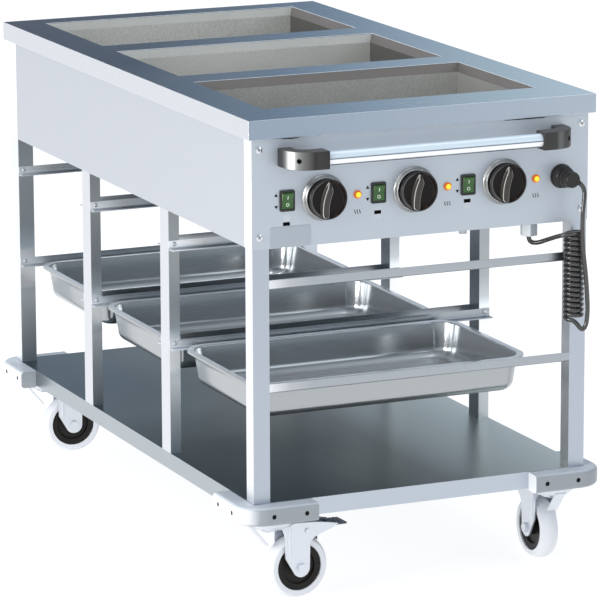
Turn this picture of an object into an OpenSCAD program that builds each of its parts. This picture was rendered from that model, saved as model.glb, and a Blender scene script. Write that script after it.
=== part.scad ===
// Heated serving trolley with three wells, guides for standard pans and a push handle.
// Lengths are millimetres. +X is to the right, +Y away from the controls, +Z up.
// The origin lies on the floor, in the middle of the trolley's outer box.

/* [Worktop] */
// Width of the worktop
top_w = 645; // [635:1:760]
// Length of the worktop
top_l = 1190; // [1180:1:1300]
// Height of the worktop above the floor
work_h = 840; // [820:1:950]
// Height of the turned-down edge
lip_h = 33; // [20:1:40]
// Width of the return under the edge
lip_return = 6; // [3:0.5:8]
// Sheet of the worktop
top_t = 1.5; // [1:0.1:2.5]

/* [Wells] */
// Width of an opening
well_w = 510; // [490:1:520]
// Length of an opening
well_l = 300; // [280:1:310]
// Distance between the middles of neighbouring openings
well_pitch = 370; // [345:1:375]
// Worktop in front of the first opening
well_margin = 98.5; // [80:0.5:110]
// Depth of the sloping collar round an opening
collar_h = 16; // [8:1:25]
// Distance that the collar slopes inwards
collar_in = 6; // [2:0.5:12]
// Depth of a tank below the worktop
well_depth = 165; // [100:1:175]
// Sheet of the tanks
well_t = 1.2; // [0.8:0.1:2]
// Diameter of the heating tube
heater_d = 8; // [6:0.5:10]
// Distance between the runs of the heating tube
heater_pitch = 48; // [30:1:60]

/* [Body] */
// Height of the closed body, from the worktop's top face
body_h = 220; // [210:1:240]
// Sheet of the panels
panel_t = 1.2; // [0.8:0.1:2]
// Width of the folded foot of the panels
panel_foot = 15; // [8:1:25]
// Gap at the seams between panels
seam = 0.5; // [0.2:0.1:2]
// Diameter of the capped drain stub
stub_d = 14; // [8:0.5:14]
// Length of the drain stub below the body
stub_l = 11; // [6:0.5:20]

/* [Frame] */
// Distance from the worktop's side edge to the posts
side_inset = 10.5; // [9.8:0.1:16]
// Distance from the worktop's end edge to the posts
end_inset = 12; // [10:0.1:16]
// Side of the corner posts
post_w = 30; // [25:1:32]
// Width of the mid posts
mid_w = 20; // [15:1:25]
// Length of the mid posts along the trolley
mid_l = 40; // [30:1:42]
// Wall of the post tubes
post_t = 1.5; // [1.2:0.1:3]

/* [Guides] */
// Worktop to the top of the upper guides
upper_drop = 274; // [262:1:290]
// Worktop to the top of the lower guides
lower_drop = 452; // [430:1:470]
// Height of a guide
guide_h = 16; // [12:1:22]
// How far a pan's rim lies on each guide
guide_rest = 8.5; // [6:0.5:10]
// Sheet of the guides
guide_t = 1.5; // [1.2:0.1:2]
// Outer bend radius of the guides
guide_bend = 4; // [3:0.5:6]

/* [Pans] */
// Length of a pan over its rim
pan_l = 530; // [500:1:540]
// Width of a pan over its rim
pan_w = 325; // [320:0.5:330]
// Depth of a pan
pan_depth = 65; // [40:1:100]
// Width of the rim
pan_rim = 12.5; // [11.5:0.1:14]
// Height of the rim's turned-down edge
pan_lip = 4.5; // [3:0.5:8]
// Corner radius of the rim
pan_r = 48; // [35:1:60]
// Sheet of the pans
pan_t = 1; // [0.8:0.1:1.5]
// Inward slope of the wall over the depth
pan_taper = 6; // [3:0.5:10]
// Radius between wall and floor
pan_floor_r = 14; // [8:1:20]
// Place of the front pan's middle across the trolley
pan_front_x = -33; // [-45:1:30]
// Place of the middle pan's middle across the trolley
pan_middle_x = -33; // [-45:1:30]
// Place of the rear pan's middle across the trolley
pan_rear_x = -18; // [-45:1:30]
// Height that a pan rides clear of its guides
pan_gap = 0.3; // [0.2:0.1:0.6]

/* [Shelf] */
// Height of the shelf's turned-down edge
shelf_edge = 30; // [25:1:40]
// Sheet of the shelf
shelf_t = 1.5; // [1.2:0.1:3]
// Width of the return under the shelf's edge
shelf_return = 12; // [8:1:20]
// Depth of the caster channels along the trolley
bearer_l = 96; // [90:1:120]

/* [Bumpers] */
// Thickness of a bumper
bumper_t = 30; // [20:1:36]
// Height of a bumper
bumper_h = 32; // [26:1:34]
// Length of a bumper's legs from the outer corner
bumper_leg = 137; // [132:1:170]
// Outer corner radius of a bumper
bumper_r = 47; // [40:1:50]
// Rounding of a bumper's long edges
bumper_edge = 7; // [3:0.5:10]
// Step from the shelf's top down to a bumper's top
bumper_drop = 1; // [0.5:0.5:4]
// Outer corner to the first bumper screw
bumper_screw_1 = 55; // [50:1:60]
// Outer corner to the second bumper screw
bumper_screw_2 = 115; // [100:1:120]
// Clearance between a bumper and the shelf
bumper_gap = 0.2; // [0.1:0.1:0.4]

/* [Casters] */
// Diameter of the wheels
wheel_d = 112; // [100:1:125]
// Width of the tyres
tyre_w = 32; // [28:1:36]
// Diameter of the wheel centre, inside the tyre
hub_d = 82; // [70:1:90]
// Radius of the tyre's crown
crown_r = 24; // [20:1:40]
// Distance from the kingpin to the axle
trail = 50; // [40:1:55]
// Shelf side edge to the kingpin
king_inset_x = 44; // [43.8:0.2:60]
// Shelf end edge to the kingpin
king_inset_y = 38; // [38:0.5:50]
// Diameter of the kingpin
king_d = 12; // [10:0.5:14]
// Diameter of the axle bolt
axle_d = 10; // [8:0.5:12]
// Clearance on the diameter between pins and their bores
pin_fit = 0.1; // [0.04:0.02:0.16]
// Length of the top plate across the trolley
plate_w = 84; // [78:1:84]
// Length of the top plate along the trolley
plate_l = 72; // [70:1:72]
// Thickness of the top plate
plate_t = 3.5; // [2.5:0.5:5]
// Diameter of the fixed ball race
race_d = 70; // [60:1:71]
// Height of the fixed ball race
race_h = 6.5; // [5:0.5:9]
// Diameter of the swivel crown
swivel_d = 78; // [72:1:84]
// Height of the swivel crown
swivel_h = 10; // [8:0.5:14]
// Gap between fixed and turning pieces
run_gap = 0.3; // [0.2:0.1:0.6]
// Sheet of the forks
fork_t = 3; // [2.5:0.5:4]
// Gap between tyre and fork
tyre_side = 3.3; // [2.5:0.1:5]
// Gap between tyre and the fork's bridge
tyre_top = 16.7; // [14:0.1:24]
// Thickness of the fork's bridge
bridge_t = 4; // [3:0.5:6]
// Kingpin to the front edge of the fork's legs
leg_front = 20; // [16:1:24]
// Radius of the fork's tips
tip_r = 16; // [12:0.5:18]
// Reach of the braked fork's arms from the kingpin
arm_reach = 121; // [110:1:130]
// Length of the brake pedal's plate
pedal_l = 27; // [20:1:32]
// Thickness of the brake lever
lever_t = 3; // [2:0.5:4]
// Diameter of the brake pivot
pivot_d = 6; // [5:0.5:8]

/* [Handle] */
// Diameter of the push bar
bar_d = 24; // [20:1:26]
// Wall of the push bar
bar_t = 1.5; // [1:0.1:3]
// Worktop to the middle of the push bar
bar_drop = 66; // [58:1:72]
// Reach of the handle from the control panel
handle_reach = 60.8; // [55:0.1:75]
// Middle of the trolley to a bracket's outer edge
bracket_out = 266; // [240:1:280]
// Width of a bracket
bracket_w = 68; // [60:1:80]
// Height of a bracket
bracket_h = 31; // [30:1:34]
// Depth of a bracket where it holds the bar
bracket_d = 30; // [28:1:32]
// Outer corner radius of a bracket
bracket_r = 45; // [30:1:48]
// Width of a bracket's seat on the panel
bracket_seat = 24; // [18:1:30]
// Diameter of a bracket's screw recess
recess_d = 9; // [7:0.5:10]

/* [Controls] */
// Worktop to the middle of the knobs
knob_drop = 140.5; // [130:0.5:150]
// Left side of the frame to the first knob
station_left = 129; // [122:1:135]
// Right side of the frame to the last knob
station_right = 161; // [155:1:170]
// Diameter of a knob
knob_d = 70; // [60:1:76]
// Height of a knob from its back to its grip
knob_h = 19; // [15:0.5:24]
// Diameter of a bezel at the panel
bezel_d = 77; // [72:1:84]
// Height of a bezel
bezel_h = 8; // [5:0.5:10]
// Diameter of a thermostat spindle
spindle_d = 6; // [5:0.5:8]
// Knob to the middle of its switch
switch_off = 66.5; // [62:0.5:70]
// Width of a switch frame
switch_w = 27; // [24:0.5:30]
// Height of a switch frame
switch_h = 36; // [33:0.5:40]
// Height that a switch frame stands off the panel
switch_t = 3; // [2:0.5:4]
// Width of a rocker
rocker_w = 19.4; // [18:0.1:20]
// Height of a rocker
rocker_h = 27.4; // [24:0.1:28]
// Tilt of a rocker from its middle position
rocker_tilt = 8; // [5:1:12]
// Knob to the middle of its lamp
lamp_off = 62.2; // [58:0.1:66]
// Diameter of a lamp's lens
lamp_d = 12; // [10:0.5:14]

/* [Mains cord] */
// Right side of the frame to the middle of the plug
plug_in = 50; // [48:1:57]
// Worktop to the middle of the plug
plug_drop = 140; // [135:1:145]
// Diameter of the plug
plug_d = 38; // [34:1:42]
// Length of the plug's body
plug_l = 40; // [30:1:42]
// Diameter of the mains cord
cord_d = 8; // [6:0.5:8]
// Right side of the frame to the middle of the cable gland
gland_side = 96; // [87:1:107]
// Control panel to the middle of the cable gland
gland_in = 29.5; // [28:0.5:44]
// Size of the gland's hexagon across its corners
gland_d = 31; // [26:1:34]
// Length of the gland below the body
gland_l = 25; // [18:1:30]

/* [Screws] */
// Shank diameter of the screws
screw_d = 4; // [3:0.5:5]
// Head diameter of the screws
head_d = 8; // [6:0.5:9]
// Head diameter of a panel screw
panel_head_d = 12; // [9:0.5:13]
// Head height of the screws
head_h = 2.4; // [1.5:0.1:3]
// Grip length of the screws behind their heads
screw_l = 7; // [5:0.5:10]

/* [Hidden] */
$fn = 64;

// Overrun of cuts, and the clearance of pieces that only sit against each other
over = 1;
fit = 0.3;

steel = "#c3cad0";
dark_plastic = "#3a3836";
grey_plastic = "#b9bfc2";
zinc = "#dfe3e8";

// Overall places. The bumpers and the handle set the outer box.
bumper_over = bumper_t + bumper_gap - end_inset;
handle_over = handle_reach + panel_t - end_inset;
y_front = -(top_l + bumper_over - max(handle_over, bumper_over)) / 2;
y_rear = y_front + top_l;
z_top = work_h;
z_under = z_top - top_t;

// Frame
x_post = top_w / 2 - side_inset;
y_post = y_front + end_inset;
y_post_end = y_rear - end_inset;
bay = (y_post_end - y_post - 2 * post_w - 2 * mid_l) / 3;
guide_foot = (bay - pan_w) / 2 + guide_rest;
x_panel = x_post + panel_t;
y_panel = y_post - panel_t;
z_body = z_top - body_h;
plug_x = x_post - plug_in;
gland_x = x_post - gland_side;

// Casters, from the floor up
wheel_r = wheel_d / 2;
z_bridge = wheel_d + tyre_top;
z_crown = z_bridge + bridge_t;
z_race = z_crown + swivel_h + run_gap;
z_plate = z_race + race_h;
z_edge = z_plate + plate_t;
z_shelf = z_edge + shelf_edge;
leg_in = tyre_w / 2 + tyre_side;
leg_out = leg_in + fork_t;
king_x = x_post - king_inset_x;
king_y = y_post + king_inset_y;
king_y_end = y_post_end - king_inset_y;
heading_front_left = 3;
heading_rear_left = -6;
heading_front_right = 90;
heading_rear_right = 175;

// Shelf corners follow the inside of the bumpers
shelf_r = bumper_r - bumper_t - bumper_gap;

// Controls
z_knob = z_top - knob_drop;
y_bar = y_panel - handle_reach + bracket_d / 2;
z_bar = z_top - bar_drop;

function bay_start(i) = y_post + post_w + i * (bay + mid_l);
function well_y(i) = y_front + well_margin + i * well_pitch;
function station(i) = -x_post + station_left + i * (2 * x_post - station_left - station_right) / 2;
function arc(c, r, a, b, n) = [for (k = [0 : n]) c + r * [cos(a + (b - a) * k / n), sin(a + (b - a) * k / n)]];

// A block between two corners
module block(lo, hi) {
    translate(lo) cube(hi - lo);
}

// A rectangle with round corners, from its lowest corner
module round_rect(size, r) {
    translate([r, 0]) square([size[0] - 2 * r, size[1]]);
    translate([0, r]) square([size[0], size[1] - 2 * r]);
    for (x = [r, size[0] - r], y = [r, size[1] - r]) translate([x, y]) circle(r);
}

// Screw holes

// Places of the panel screws: across, and down from the worktop
panel_screw_in = 12;
panel_screw_drop_1 = 51.6;
panel_screw_drop_2 = 199.6;
panel_screw_drops = [panel_screw_drop_1, panel_screw_drop_2];
hole_d = screw_d + fit;

module end_panel_holes() {
    for (s = [-1, 1], d = panel_screw_drops)
        translate([s * (x_post - panel_screw_in), 0, z_top - d])
            rotate([90, 0, 0]) cylinder(d = hole_d, h = 2 * top_l, center = true);
}

// A screw that points along +Y from its head's seat at the origin
module screw_y(head = head_d) {
    rotate([-90, 0, 0]) cylinder(d = screw_d, h = screw_l);
    rotate([90, 0, 0]) {
        cylinder(d = head, h = head_h / 2);
        translate([0, 0, head_h / 2]) cylinder(d1 = head, d2 = head / 2, h = head_h / 2);
    }
}

// Worktop and wells

module worktop() {
    color(steel) difference() {
        block([-top_w / 2, y_front, z_top - lip_h], [top_w / 2, y_rear, z_top]);
        block([-top_w / 2 + top_t, y_front + top_t, z_top - lip_h + top_t],
              [top_w / 2 - top_t, y_rear - top_t, z_under]);
        block([-top_w / 2 + lip_return, y_front + lip_return, z_top - lip_h - over],
              [top_w / 2 - lip_return, y_rear - lip_return, z_under]);
        for (i = [0 : 2])
            block([-well_w / 2, well_y(i), z_under - over],
                  [well_w / 2, well_y(i) + well_l, z_top + over]);
    }
}

// A thin slab of an opening's outline, grown by a margin
module opening_slab(i, grow, z, t) {
    block([-well_w / 2 - grow, well_y(i) - grow, z], [well_w / 2 + grow, well_y(i) + well_l + grow, z + t]);
}

z_collar = z_top - collar_h;
z_tank = z_top - well_depth;
slab_t = 0.1;

module well(i) {
    color("#a9aca8") {
        // Sloping collar, hung under the edge of the opening
        difference() {
            hull() {
                opening_slab(i, well_t, z_under - slab_t, slab_t);
                opening_slab(i, well_t - collar_in, z_collar, slab_t);
            }
            hull() {
                opening_slab(i, 0, z_under, slab_t);
                opening_slab(i, -collar_in, z_collar - slab_t, slab_t);
            }
        }
        // Straight tank
        difference() {
            opening_slab(i, well_t - collar_in, z_tank - well_t, z_collar - z_tank + well_t);
            opening_slab(i, -collar_in, z_tank, z_collar - z_tank + over);
        }
    }
}

// Flat tube heater in four runs, held against a tank's floor
z_heater = z_tank - well_t - fit - heater_d / 2;
heater_runs = 4;
heater_half = well_w / 2 - collar_in - heater_pitch;

module heater(i) {
    y_mid = well_y(i) + well_l / 2;
    translate([0, y_mid, z_heater]) {
        for (k = [0 : heater_runs - 1])
            translate([-heater_half, (k - (heater_runs - 1) / 2) * heater_pitch, 0])
                rotate([0, 90, 0]) cylinder(d = heater_d, h = 2 * heater_half);
        for (k = [0 : heater_runs - 2]) {
            side = k % 2 == 0 ? 1 : -1;
            translate([side * heater_half, (k - (heater_runs - 2) / 2) * heater_pitch, 0])
                rotate([0, 0, -90 * side])
                    rotate_extrude(angle = 180) translate([heater_pitch / 2, 0]) circle(d = heater_d, $fn = 24);
        }
    }
}

module heating_elements() {
    color("#6d6f70") for (i = [0 : 2]) heater(i);
}

// Panels of the body

// An end panel that wraps the two posts; it faces -Y
module end_panel() {
    difference() {
        block([-x_panel, y_panel, z_body], [x_panel, y_post + post_w, z_under]);
        block([-x_post, y_post, z_body - over], [x_post, y_post + post_w + over, z_under + over]);
        end_panel_holes();
    }
    x_foot = x_post - post_w - fit;
    block([-x_foot, y_post, z_body], [x_foot, y_post + panel_foot, z_body + panel_t]);
}

module control_panel() {
    color(steel) difference() {
        end_panel();
        for (i = [0 : 2]) translate([station(i), y_post, z_knob]) {
            rotate([90, 0, 0]) cylinder(d = spindle_d + 2 * over, h = 2 * post_w, center = true);
            translate([-switch_off, 0, 0])
                cube([switch_body_w + fit, post_w, switch_body_h + fit], center = true);
            translate([lamp_off, 0, 0])
                rotate([90, 0, 0]) cylinder(d = lamp_body_d + fit, h = post_w, center = true);
        }
        for (s = [-1, 1]) translate([s * bracket_bolt_x, y_post, z_bar])
            rotate([90, 0, 0]) cylinder(d = hole_d, h = post_w, center = true);
        translate([plug_x, y_post, z_top - plug_drop])
            rotate([90, 0, 0]) cylinder(d = holder_neck_d + fit, h = post_w / 2, center = true);
    }
}

module rear_panel() {
    color(steel) translate([0, y_front + y_rear, 0]) mirror([0, 1, 0]) end_panel();
}

module side_panel() {
    difference() {
        union() {
            block([x_post, y_post + post_w + seam, z_body],
                  [x_panel, y_post_end - post_w - seam, z_under]);
            block([x_post - panel_foot, y_post + post_w + seam, z_body],
                  [x_panel, y_post_end - post_w - seam, z_body + panel_t]);
        }
        for (i = [1, 2])
            block([x_post - mid_w - fit, bay_start(i) - mid_l - fit, z_body - over],
                  [x_post, bay_start(i) + fit, z_under]);
    }
}

module side_panels() {
    color(steel) for (s = [0, 1]) mirror([s, 0, 0]) side_panel();
}

module bottom_cover() {
    color(steel) difference() {
        block([-x_post + fit, y_post + fit, z_body + panel_t],
              [x_post - fit, y_post_end - fit, z_body + 2 * panel_t]);
        for (s = [0, 1], t = [0, 1]) mirror([s, 0, 0]) translate([0, t * (y_front + y_rear), 0]) mirror([0, t, 0])
            block([x_post - post_w - fit, y_post, z_body], [x_post + over, y_post + post_w + fit, z_top]);
        for (s = [0, 1], i = [1, 2]) mirror([s, 0, 0])
            block([x_post - mid_w - fit, bay_start(i) - mid_l - fit, z_body], [x_post, bay_start(i) + fit, z_top]);
        translate([gland_x, y_panel + gland_in, z_body])
            cylinder(d = gland_neck_d + fit, h = post_w);
        translate([stub_x, y_panel + gland_in, z_body])
            cylinder(d = stub_neck_d + fit, h = post_w);
    }
}

// Drain stub with its cap
stub_side = 222;
stub_x = x_post - stub_side;
stub_neck_d = stub_d * 0.7;
stub_flange_t = 2;

module drain_stub() {
    color("#6f7275") translate([stub_x, y_panel + gland_in, 0]) {
        translate([0, 0, z_body + panel_t - stub_flange_t]) cylinder(d = stub_d + 2 * over, h = stub_flange_t);
        translate([0, 0, z_body - stub_l]) cylinder(d = stub_d, h = stub_l);
        translate([0, 0, z_body]) cylinder(d = stub_neck_d, h = panel_t + 2 * stub_flange_t);
    }
}

// Frame

module tube_post(w, l, z0, z1) {
    difference() {
        cube([w, l, z1 - z0]);
        translate([post_t, post_t, -over]) cube([w - 2 * post_t, l - 2 * post_t, z1 - z0 + 2 * over]);
    }
}

module corner_post(right, rear) {
    color(steel) difference() {
        mirror([right ? 0 : 1, 0, 0])
            translate([x_post - post_w, rear ? y_post_end - post_w : y_post, z_shelf])
                tube_post(post_w, post_w, z_shelf, z_under);
        end_panel_holes();
        guide_holes();
    }
}

module mid_posts() {
    color(steel) difference() {
        for (s = [0, 1], i = [1, 2]) mirror([s, 0, 0])
            translate([x_post - mid_w, bay_start(i) - mid_l, z_shelf])
                tube_post(mid_w, mid_l, z_shelf, z_under);
        guide_holes();
    }
}

// Guides: [place of the post face, direction of the foot]
guide_seats = [
    [bay_start(0) + bay, -1],
    [bay_start(1), 1],
    [bay_start(1) + bay, -1],
    [bay_start(2), 1],
    [bay_start(2) + bay, -1]
];

// Cross-section: an upright with a foot at its bottom
module guide_profile(foot) {
    translate([0, guide_bend]) square([guide_t, guide_h - guide_bend]);
    translate([guide_bend, 0]) square([foot - guide_bend, guide_t]);
    intersection() {
        square(guide_bend);
        translate([guide_bend, guide_bend]) difference() {
            circle(guide_bend);
            circle(guide_bend - guide_t);
        }
    }
}

module guide(half_length, foot) {
    rotate([90, 0, 90]) translate([0, 0, -half_length]) linear_extrude(2 * half_length) guide_profile(foot);
}

z_guide_holes = [for (d = [upper_drop, lower_drop]) z_top - d - guide_h / 2 + guide_bend / 2];

module guide_holes() {
    for (seat = guide_seats, s = [-1, 1], z = z_guide_holes)
        translate([s * (x_post - mid_w / 2), seat[0], z])
            rotate([90, 0, 0]) cylinder(d = hole_d, h = 2 * screw_l + 2 * over, center = true);
}

module guide_level(drop) {
    color(steel) difference() {
        union() {
            for (seat = guide_seats)
                translate([0, seat[0], z_top - drop - guide_h])
                    mirror([0, seat[1] > 0 ? 0 : 1, 0]) guide(x_post, guide_foot);
            // The first guide stands between the front posts and its foot reaches past them
            translate([0, y_post, z_top - drop - guide_h])
                guide(x_post - post_w, post_w + guide_foot);
        }
        guide_holes();
    }
}

module upper_guides() {
    guide_level(upper_drop);
}

module lower_guides() {
    guide_level(lower_drop);
}

// Pans, drawn from one sheet: [distance in from the rim's edge, height from the rim's top]

pan_r_lip = 1;
pan_shoulder = 3;
corner_steps = 8;

// Quarter round in four steps, as shares of its radius
round_shares = [0, 0.076, 0.293, 0.617, 1];
bend_share = 0.3;
lip_share = 0.6;

// One ring of a pan, at a distance in from the rim's edge
function pan_ring(inset, z) = [
    for (q = [0 : 3], k = [0 : corner_steps])
        let (a = 90 * q + 90 * k / corner_steps,
             r = max(pan_r - inset, pan_floor_r / 2),
             cx = (pan_l / 2 - inset - r) * (q == 0 || q == 3 ? 1 : -1),
             cy = (pan_w / 2 - inset - r) * (q < 2 ? 1 : -1))
            [cx + r * cos(a), cy + r * sin(a), z]
];

// A skin through equal rings, closed by its first and last ring
module lofted(rings) {
    n = len(rings[0]);
    m = len(rings);
    polyhedron(
        points = [for (ring = rings, p = ring) p],
        faces = concat(
            [[for (k = [0 : n - 1]) n - 1 - k]],
            [for (j = [0 : m - 2], k = [0 : n - 1])
                [j * n + k, j * n + (k + 1) % n, (j + 1) * n + (k + 1) % n]],
            [for (j = [0 : m - 2], k = [0 : n - 1])
                [j * n + k, (j + 1) * n + (k + 1) % n, (j + 1) * n + k]],
            [[for (k = [0 : n - 1]) (m - 1) * n + k]]
        ),
        convexity = 6
    );
}

z_pan = z_top - lower_drop - guide_h + guide_t + pan_gap + pan_lip;

// Outline of the sheet's outer face and inner face, from the floor out to the edge
wall_out = pan_rim + pan_taper - pan_t;
wall_in = pan_rim + pan_taper;
floor_in_r = pan_floor_r - pan_t;
pan_outer = concat(
    [for (k = [4 : -1 : 0]) [wall_out + pan_floor_r * round_shares[k], -pan_depth + pan_floor_r * round_shares[4 - k]]],
    [
        [pan_rim - pan_t, -pan_shoulder - pan_t],
        [pan_rim - pan_t - pan_shoulder * bend_share, -pan_shoulder * bend_share - pan_t],
        [pan_rim - pan_t - pan_shoulder, -pan_t],
        [pan_t + pan_r_lip, -pan_t],
        [pan_t, -pan_t - pan_r_lip],
        [pan_t, -pan_lip]
    ]
);
pan_inner = concat(
    [
        [0, -pan_lip],
        [0, -pan_t - pan_r_lip],
        [pan_r_lip * lip_share, -pan_t * lip_share],
        [pan_t + pan_r_lip, 0],
        [pan_rim - pan_shoulder, 0],
        [pan_rim - pan_shoulder * bend_share, -pan_shoulder * bend_share],
        [pan_rim, -pan_shoulder]
    ],
    [for (k = [0 : 4])
        [wall_in + floor_in_r * round_shares[k], -pan_depth + pan_t + floor_in_r * round_shares[4 - k]]]
);

module pan(i, x) {
    color("#d3d7db") translate([x, bay_start(i) + bay / 2, z_pan])
        lofted([for (p = concat(pan_outer, pan_inner)) pan_ring(p[0], p[1])]);
}

// Shelf

module shelf() {
    color(steel) difference() {
        union() {
            difference() {
                shelf_block(0, z_edge, z_shelf);
                shelf_block(shelf_t, z_edge + shelf_t, z_shelf - shelf_t);
                shelf_block(shelf_return, z_edge - over, z_shelf - shelf_t);
            }
            intersection() {
                shelf_block(0, z_edge, z_shelf - shelf_t / 2);
                union() {
                    bearer(king_y);
                    bearer(king_y_end);
                }
            }
        }
        bumper_holes();
        for (c = casters) translate([c[0], c[1], 0]) plate_holes();
    }
}

module shelf_block(inset, z0, z1) {
    translate([-x_post + inset, y_post + inset, z0])
        linear_extrude(z1 - z0)
            round_rect([2 * (x_post - inset), y_post_end - y_post - 2 * inset], shelf_r - min(inset, shelf_r / 2));
}

// A channel under the shelf that carries two casters and reaches all round into the shelf's edges
module bearer(y) {
    near = y < 0 ? min(bearer_l / 2, y - y_post) : bearer_l / 2;
    far = y < 0 ? bearer_l / 2 : min(bearer_l / 2, y_post_end - y);
    difference() {
        block([-x_post, y - near, z_edge], [x_post, y + far, z_shelf]);
        intersection() {
            block([-x_post, y - near + shelf_t, z_edge], [x_post, y + far - shelf_t, z_shelf]);
            shelf_block(shelf_t, z_edge + shelf_t, z_shelf);
        }
    }
}

// Bumpers

z_bumper = z_shelf - bumper_drop - bumper_h;
bumper_hole_z = z_bumper + bumper_h / 2;
bumper_recess = 3;

// Cross-section: distance out from the middle of the corner's arc, height
module bumper_profile() {
    r0 = bumper_r - bumper_t;
    translate([r0, 0]) square([bumper_t - bumper_edge, bumper_h]);
    translate([r0, bumper_edge]) square([bumper_t, bumper_h - 2 * bumper_edge]);
    for (z = [bumper_edge, bumper_h - bumper_edge])
        translate([bumper_r - bumper_edge, z]) circle(bumper_edge);
}

// A bumper for the corner towards +X and +Y, with its outer corner at the origin
module bumper_shape() {
    leg = bumper_leg - bumper_r;
    translate([-bumper_r, -bumper_r, 0]) {
        rotate_extrude(angle = 90) bumper_profile();
        rotate([90, 0, 0]) linear_extrude(leg) bumper_profile();
        rotate([90, 0, 90]) mirror([0, 0, 1]) linear_extrude(leg) bumper_profile();
    }
}

// Puts what it holds at the outer corner of one bumper
module at_bumper(right, rear) {
    mirror([right ? 0 : 1, 0, 0])
        translate([x_post + bumper_t + bumper_gap,
                   rear ? y_post_end + bumper_t + bumper_gap : y_post - bumper_t - bumper_gap, z_bumper])
            mirror([0, rear ? 0 : 1, 0]) children();
}

// Puts what it holds at each screw of a bumper, pointing inwards along -Z
module at_bumper_screws() {
    for (d = [bumper_screw_1, bumper_screw_2]) {
        translate([-d, 0, bumper_h / 2]) rotate([-90, 0, 0]) children();
        translate([0, -d, bumper_h / 2]) rotate([0, 90, 0]) children();
    }
}

module bumper_holes() {
    for (right = [false, true], rear = [false, true])
        at_bumper(right, rear) at_bumper_screws()
            translate([0, 0, -bumper_t - shelf_return]) cylinder(d = hole_d, h = bumper_t + shelf_return + over);
}

module bumper(right, rear) {
    color(grey_plastic) at_bumper(right, rear) difference() {
        bumper_shape();
        at_bumper_screws() {
            translate([0, 0, -bumper_t - over]) cylinder(d = hole_d, h = bumper_t + 2 * over);
            translate([0, 0, -bumper_recess]) cylinder(d = head_d + fit, h = bumper_recess + over);
        }
    }
}

module bumper_screws() {
    color("#17181a")
        for (right = [false, true], rear = [false, true]) at_bumper(right, rear) at_bumper_screws()
            translate([0, 0, -bumper_recess]) {
                cylinder(d = head_d, h = head_h);
                translate([0, 0, bumper_recess - bumper_t - screw_l])
                    cylinder(d = screw_d, h = bumper_t + screw_l - bumper_recess);
            }
}

// Casters: [kingpin x, kingpin y, heading, braked]
casters = [
    [-king_x, king_y, heading_front_left, true],
    [king_x, king_y, heading_front_right, false],
    [-king_x, king_y_end, heading_rear_left, true],
    [king_x, king_y_end, heading_rear_right, false]
];

// Puts what it holds in a caster's own frame: kingpin at the origin, trail along +X
module at_caster(i) {
    c = casters[i];
    translate([c[0], c[1], 0]) rotate([0, 0, c[2]]) children();
}

plate_bolt_in = 9;
plate_r = 12;
bolt_d = 6;
bolt_head_d = 12;
bolt_head_h = 4;
nut_d = 20;
nut_h = 6;

module at_plate_bolts() {
    for (sx = [-1, 1], sy = [-1, 1])
        translate([sx * (plate_w / 2 - plate_bolt_in), sy * (plate_l / 2 - plate_bolt_in), z_plate]) children();
}

module plate_holes() {
    at_plate_bolts() cylinder(d = bolt_d + fit, h = plate_t + 2 * shelf_t + over);
}

// Top plate, fixed race and kingpin with its nut, as one riveted piece, and four bolts
module caster_plate() {
    difference() {
        union() {
            translate([-plate_w / 2, -plate_l / 2, z_plate])
                linear_extrude(plate_t) round_rect([plate_w, plate_l], plate_r);
            translate([0, 0, z_race]) cylinder(d = race_d, h = race_h);
            translate([0, 0, z_bridge - run_gap - nut_h]) cylinder(d = king_d, h = z_race - z_bridge + run_gap + nut_h);
            translate([0, 0, z_bridge - run_gap - nut_h]) cylinder(d = nut_d, h = nut_h, $fn = 6);
        }
        plate_holes();
    }
    at_plate_bolts() {
        translate([0, 0, -pin_fit]) cylinder(d = bolt_d, h = plate_t + shelf_t + bolt_head_h);
        translate([0, 0, -bolt_head_h - pin_fit]) cylinder(d = bolt_head_d, h = bolt_head_h, $fn = 6);
    }
}

module caster_plates() {
    color(zinc) for (c = casters) translate([c[0], c[1], 0]) caster_plate();
}

// Side outlines of the forks, in shares of the arm's reach and of the leg's height above the axle
leg_h = z_crown - wheel_r;
braked_shares = [
    [0.165, 1], [0.33, 1.043], [0.62, 1.017], [0.826, 0.971], [1, 0.913],
    [0.909, 0.835], [0.80, 0.775], [0.694, 0.725], [0.62, 0.67], [0.575, 0.60], [0.553, 0.52]
];
plain_shares = [
    [0.165, 1], [0.40, 1], [0.56, 0.97], [0.66, 0.89], [0.70, 0.80], [0.66, 0.74], [0.60, 0.66], [0.56, 0.52]
];
leg_back_share = 0.26;

// Where the line from a point touches a circle, on its left or right
function tangent(p, c, r, side) =
    let (d = norm(p - c), base = atan2(p[1] - c[1], p[0] - c[0]), turn = acos(r / d))
        c + r * [cos(base + side * turn), sin(base + side * turn)];

module leg_outline(shares) {
    axle = [trail, wheel_r];
    outline = [for (s = shares) [max(s[0] * arm_reach, leg_front), wheel_r + s[1] * leg_h]];
    corner = [leg_front, wheel_r + leg_back_share * leg_h];
    last = outline[len(outline) - 1];
    polygon(concat(outline, [tangent(last, axle, tip_r, -1), axle, tangent(corner, axle, tip_r, 1), corner]));
    translate(axle) circle(tip_r);
}

arm_pivot = [0.512 * arm_reach, wheel_d + tyre_top / 2];
rib_d = 5;
blade_l = 44;
blade_turn = 40;

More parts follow.
